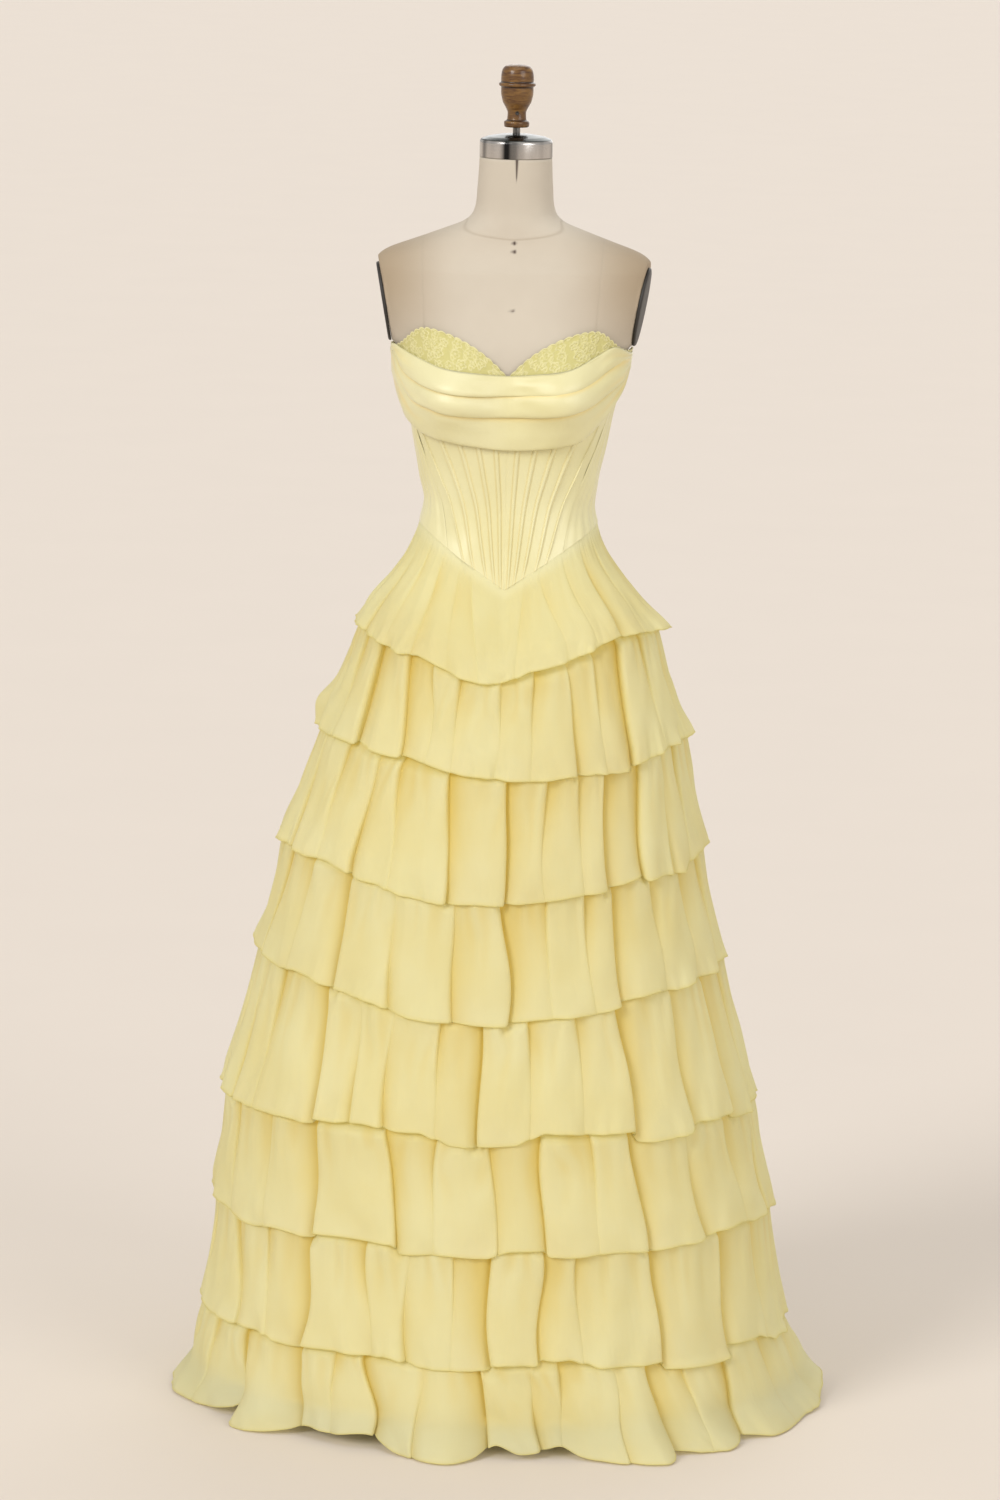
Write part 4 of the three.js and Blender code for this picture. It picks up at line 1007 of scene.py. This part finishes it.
def make_tier(tier, over):
    """One gathered ruffle; over is the hem that hangs in front of its top."""
    wide, aside = TIERS[tier][3], TIERS[tier][5]
    last = tier == len(TIERS) - 1
    valleys = tier_valleys(tier)
    count = len(valleys)
    steps = 26
    u = np.tile((1 - np.cos(np.pi * np.arange(steps) / steps)) / 2, count)[:, None]
    here = np.repeat(np.arange(count), steps)
    there, before = (here + 1) % count, (here - 1) % count
    wrap = np.where(there == 0, 360.0, 0.0)[:, None]
    rows = 40 if tier else 48
    t = np.linspace(0, 1, rows)
    t = mix(t, t**1.4, 0.35)[None, :]
    random = np.random.default_rng(40 + tier)
    sway = random.uniform(-1, 1, (count, 4))

    def valley_turn(k):
        swing = sway[k, 0:1] * np.sin(np.pi * t) + 0.5 * sway[k, 1:2] * np.sin(2 * np.pi * t)
        return mix(valleys[k, 0:1], valleys[k, 1:2], smooth(t)) + 1.1 * swing

    start, end = valley_turn(here), valley_turn(there) + wrap
    turn = start + (end - start) * u
    radius = wide * 0.9
    width = np.radians(end - start) * radius
    from_here, from_there = u * width, (1 - u) * width

    # A valley has a crisp side, where a panel laps over it, and a soft side; a shallow one
    # fades out towards the hem, or a few towards the seam
    strong = smooth((valleys[:, 2:3] - 0.8) / 0.25)

    def valley(away, near, crisp, k):
        reach = mix(21, 9, t) * (0.75 + 0.35 * valleys[k, 2:3]) * (1 + 0.25 * sway[k, 3:4])
        shape = np.where(crisp, np.exp(-away / 1.8), np.exp(-(away / reach) ** 1.25))
        fade = 1 - 0.85 * smooth(1.2 * np.where(sway[k, 1:2] > 0.6, 1 - t, t))
        return shape * smooth(2.5 * near) * mix(fade, 1, strong[k])

    lap_here, lap_there = valleys[here, 4:5] > 0, valleys[there, 4:5] < 0
    in_here = valley(from_here, 1 - u, lap_here, here)
    in_there = valley(from_there, u, lap_there, there)
    deep_here, deep_there = valleys[here, 2:3], valleys[there, 2:3]
    body = (1 - in_here) * (1 - in_there)
    gentle = 0.55 if tier == 0 else 1.0

    def between(values, blend_here, blend_there):
        """A value of each panel, blended over the valleys on both its sides."""
        own = values[here]
        return (own + 0.5 * (values[before] - own) * (1 - smooth(from_here / blend_here))
                + 0.5 * (values[there] - own) * (1 - smooth(from_there / blend_there)))

    crest = between(6.2 + 1.6 * sway[:, 2:3], 16, 16) * (0.7 + 0.3 * t)
    crest = crest + 1.8 * np.sin(np.pi * u)
    dip = (4 + 6.5 * deep_here) * in_here + (4 + 6.5 * deep_there) * in_there
    dip = dip * (0.8 + 0.2 * t) * gentle
    noise = ripple(60 + tier, turn, 2.2 * t)
    arc = np.radians(turn) * radius
    gathers = np.sin(arc / 1.9 + 2 * noise) + 0.8 * np.sin(arc / 3.1 + 1.3 * tier)
    streaks = np.sin(arc / 5.2 + 1.6 * noise + tier) + 0.7 * np.sin(arc / 8.4 - noise + 2 * tier)
    streaks = streaks * (1 - smooth(t / 0.85)) * body * gentle
    out = crest - dip + 2.2 * noise * (0.4 + 0.6 * t) * body + 1.15 * streaks
    out = out + 0.3 * gathers * np.exp(-t / 0.2)
    out = out + 1.2 * np.sin(arc / 13 + 2.5 * noise + tier) * smooth((t - 0.7) / 0.3) * body
    flare = mix(1.0, 3.2, np.abs(np.sin(np.radians(turn))))
    out = out + flare * t**3 - (4 if tier == 0 else 2.5) * np.sin(np.pi * t) ** 1.2

    slide = 2.4 * (0.4 + 0.6 * t) * gentle
    shift = (deep_there * strong[there] * lap_there * np.exp(-(from_there / 9) ** 2)
             - deep_here * strong[here] * lap_here * np.exp(-(from_here / 9) ** 2))
    shift = shift * smooth(np.minimum(from_here, from_there) / 2)
    turn = turn + np.degrees(slide * shift / radius)

    # The hem hangs at its own height between each two valleys
    crossing = mix(20, 4, strong)
    drop = between(valleys[:, 3:4], crossing[here], crossing[there])
    low = hem_height(tier, turn) + drop + 1.2 * np.sin(arc / 17 + tier)
    if last:
        around = np.mod(turn[:, -1:] + 180, 360) - 180
        spread_out, lifted = (curve_through(FLOOR_HEM[:, 0], FLOOR_HEM[:, k], around)
                              for k in (1, 2))
        out = out + spread_out * t**2 + 4 * smooth((t - 0.7) / 0.3)
        low = lifted + np.zeros(t.shape)
    for which, at, t_at, spread, t_spread, more, up in WINGS:
        if which == tier:
            near = np.mod(turn - at + 180, 360) - 180
            bulge = np.exp(-(near / spread) ** 2 - ((t - t_at) / t_spread) ** 2)
            out = out + more * bulge
            low = low + up * np.exp(-(near / spread) ** 2)
    top = hem_height(tier - 1, turn) + (WAIST_TUCK if tier == 0 else SEAM_RISE)
    z = top + (low - top) * t

    # The tier comes out from under the hem over it
    if tier:
        hidden = smooth((z - hem_height(tier - 1, turn) + 6) / 30)
        out = mix(out, -FOUNDATION_INSIDE + 3.0, hidden)
    if last:
        out = out - 6 * np.exp(-((z - 40) / 24) ** 2)
    if over is not None:
        least, level = over
        spots = np.mod(turn, 360) * 2
        least_here = np.interp(spots, np.arange(720), least, period=720)
        level_here = np.interp(spots, np.arange(720), level, period=720)
        room = least_here - 2.4 + 0.95 * np.clip(level_here - 2 - z, 0, 300)
        out = soft_least(out, room, 1.2)
    out = np.maximum(out, -FOUNDATION_INSIDE + 1.6)
    points = skirt(turn, z, out)
    if tier == 0:
        fall = waist_height(turn) - z
        relief = np.clip(1.5 * body - 0.35 * dip, -2, 3) * smooth(fall / 60)
        near = cloth(turn, z, CLEAR + SATIN - 0.4 + 0.8 * waist_flare(turn)
                     + 1.3 * smooth((fall - 1) / 30) - 1.3 * smooth(-fall / 3) + relief
                     + 0.25 * gathers * smooth(fall / 12) * np.exp(-fall / 50))
        share = smooth(fall / 100)[..., None]
        points = near * (1 - share) + points * share
    hem = points[:, -1]
    cap = hem_cap(turn[:, -1], out[:, -1], z[:, -1])
    # Painted shade: the chiffon is tinted golden in the valleys of the folds, most in the deep
    # ones and towards the top, and in the hollows of the streaks; on the first tier it fades out
    # towards the waist.
    deep = (np.clip(0.4 + 0.6 * deep_here, 0, 1) * in_here
            + np.clip(0.4 + 0.6 * deep_there, 0, 1) * in_there) * mix(1, 0.6, t)
    deep = np.clip(deep + 0.2 * np.clip(-streaks, 0, 2), 0, 1)
    if tier == 0:
        deep = deep * smooth((waist_height(turn) - z) / 60) * 0.8

    # A narrow rolled hem
    sides = 5
    outward = hem - np.array([aside, 0, 0])
    outward[:, 2] = 0
    outward /= np.linalg.norm(outward, axis=1)[:, None]
    round_about = np.radians(np.arange(sides) * 360 / sides)[None, :, None]
    roll = hem[:, None] + 0.8 * (outward[:, None] * np.cos(round_about)
                                  + np.array([0, 0, 1.0]) * np.sin(round_about))
    columns = points.shape[0]
    faces = grid_faces(columns, rows, True)
    first = columns * rows
    for i in range(columns):
        j = (i + 1) % columns
        for k in range(sides):
            m = (k + 1) % sides
            faces.append((first + i * sides + k, first + i * sides + m, first + j * sides + m,
                          first + j * sides + k))
    steps_round = np.linalg.norm(np.diff(points, axis=0, prepend=points[-1:]), axis=2)
    steps_down = np.linalg.norm(np.diff(points, axis=1, prepend=points[:, :1]), axis=2)
    across, along = np.cumsum(steps_round.mean(1)), np.cumsum(steps_down.mean(0))
    uv = np.stack(np.meshgrid(across, along, indexing="ij"), -1).reshape(-1, 2)
    roll_uv = np.stack(np.meshgrid(across, np.arange(sides) * 1.0, indexing="ij"), -1)
    edge = np.zeros(points.shape[:2])
    edge[:, -1] = 0.7
    sewn = np.zeros(points.shape[:2])
    if tier == 0:
        sewn = 0.4 - 0.4 * smooth((waist_height(turn) - z) / 20)
    both = [points.reshape(-1, 3), roll.reshape(-1, 3)]
    piece = make_piece(f"ruffle_{tier + 1}", np.concatenate(both), faces, chiffon,
                       "gown_chiffon", replaces=[f"tier_{tier + 1}"],
                       flat_uv=np.concatenate([uv, roll_uv.reshape(-1, 2)]) * MM,
                       marks={"deep": np.append(deep, np.repeat(deep[:, -1], sides)),
                              "edge": np.append(edge, np.ones(columns * sides)),
                              "sewn": np.append(sewn, np.zeros(columns * sides))})
    flat_size(points, True)
    return cap


def make_foundation():
    columns = 160
    turn = np.linspace(0, 360, columns, endpoint=False)
    seam = waist_height(turn)
    heights = [hem_height(k, turn) + SEAM_RISE for k in range(len(TIERS) - 1)]
    heights += [hem_height(len(TIERS) - 2, turn), np.full(columns, 40.0)]
    rows = [cloth(turn, seam + 2, CLEAR - 0.6), cloth(turn, seam - 38, CLEAR - 0.6)]
    rows += [skirt(turn, z, np.full(columns, -FOUNDATION_INSIDE - 0.4)) for z in heights]
    points = np.stack(rows, axis=1)
    fine = [points[:, 0]]
    for k in range(points.shape[1] - 1):
        for share in (0.25, 0.5, 0.75, 1.0):
            fine.append(points[:, k] * (1 - share) + points[:, k + 1] * share)
    points = np.stack(fine, axis=1)
    piece = make_grid("skirt_foundation", points, lining, "gown_foundation", around=True,
                      replaces=["foundation_skirt"])
    flat_size(points, True)


# The zip

def make_zip():
    low = float(waist_height(np.array([180.0]))[0]) + 6
    heights = np.linspace(low, ZIP["top"], 90)
    xs = np.linspace(-ZIP["half"], ZIP["half"], 13)
    points = np.empty((len(xs), len(heights), 3))
    middle = cloth(np.full(len(heights), 180.0), heights, CLEAR + 1.8)
    for i, x in enumerate(xs):
        groove = -0.7 * math.exp(-(x / 0.5) ** 2)
        points[i] = middle + np.array([x, groove, 0])
    points = points[::-1]
    make_grid("zip_tapes", points, lining, "zip_tape", edge=1.0, replaces=["zip_tape"])
    for node in ("zip_slider", "zip_pull"):
        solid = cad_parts[node]
        solid.data.materials.clear()
        solid.data.materials.append(enamel)


make_form()
make_arm_plates()
make_hardware()
make_bodice()
make_cups()
make_drape()
make_foundation()
over = None
for number in range(len(TIERS)):
    over = make_tier(number, over)
make_zip()


# Floor, light and camera

FLOOR_SHINE = (0.806, 0.716, 0.631, 1)
FLOOR_REACH = 60

# name, place, what it is aimed at, softness in degrees, strength
LAMPS = [
    ("key", (-2.9, -3.6, 3.4), (0, 0, 0.9), 24, 1.5),
    ("fill", (3.2, -3.4, 2.4), (0, 0, 0.9), 34, 0.85),
    ("top", (0, -0.6, 4.2), (0, 0, 1.0), 40, 0.34),
    ("back", (0.8, 4.0, 2.6), (0, 0, 0.9), 50, 0.75),
]
# Found from the photograph: degrees round from the front, tilt of the picture, how far off
# and how high the camera stands, and its lens from the focal length in the photo's pixels
CAMERA = {"azimuth": 2.5, "roll": 1.15, "away": 7.5, "height": 2.3, "focal": 5644.5,
          "photo_height": 1500, "sensor": 36.0}


def make_stage():
    corners = [(-1, -1), (1, -1), (1, 1), (-1, 1)]
    mesh = bpy.data.meshes.new("floor")
    mesh.from_pydata([(x * FLOOR_REACH, y * FLOOR_REACH, -0.0002) for x, y in corners], [],
                     [(0, 1, 2, 3)])
    mesh.materials.append(plain_finish("pale floor", (0.72, 0.64, 0.563, 1),
                                       (0.74, 0.658, 0.578, 1), 0.9, 3.0))
    floor = bpy.data.objects.new("floor", mesh)
    bpy.context.scene.collection.objects.link(floor)


def add_lamp(name, place, target, softness, strength):
    """A far lamp: light from one side, as soft as a big studio box."""
    light = bpy.data.lights.new(name, "SUN")
    light.angle = math.radians(softness)
    light.energy = strength
    lamp = bpy.data.objects.new(name, light)
    lamp.location = place
    aim = Vector(target) - Vector(place)
    lamp.rotation_euler = aim.to_track_quat("-Z", "Y").to_euler()
    bpy.context.scene.collection.objects.link(lamp)


def make_lights():
    world = bpy.data.worlds.new("studio")
    world.use_nodes = True
    tree = world.node_tree
    around = tree.nodes["Background"]
    around.inputs[0].default_value = (1.0, 0.985, 0.96, 1)
    around.inputs[1].default_value = 0.6
    behind = add_node(tree, "Background", Color=FLOOR_SHINE, Strength=1.0)
    path = add_node(tree, "LightPath")
    both = add_node(tree, "MixShader", i0=path.outputs["Is Camera Ray"], i1=around.outputs[0],
                    i2=behind.outputs[0])
    tree.links.new(both.outputs[0], tree.nodes["World Output"].inputs["Surface"])
    bpy.context.scene.world = world
    for lamp in LAMPS:
        add_lamp(*lamp)


def make_camera():
    camera = bpy.data.cameras.new("camera")
    camera.sensor_fit = "AUTO"
    camera.sensor_width = CAMERA["sensor"]
    camera.lens = CAMERA["focal"] / CAMERA["photo_height"] * CAMERA["sensor"]
    camera.clip_end = 50
    holder = bpy.data.objects.new("camera", camera)
    azimuth, away = math.radians(CAMERA["azimuth"]), CAMERA["away"]
    aim = Vector((-0.0054, 0, 0.892))
    place = Vector((aim.x + away * math.sin(azimuth), -away * math.cos(azimuth),
                    CAMERA["height"]))
    turned = (aim - place).to_track_quat("-Z", "Y").to_matrix().to_4x4()
    turned = turned @ Matrix.Rotation(math.radians(CAMERA["roll"]), 4, "Z")
    holder.matrix_world = turned
    holder.location = place
    bpy.context.scene.collection.objects.link(holder)
    bpy.context.scene.camera = holder


make_stage()
make_lights()
make_camera()
bpy.context.scene.view_settings.view_transform = "Standard"
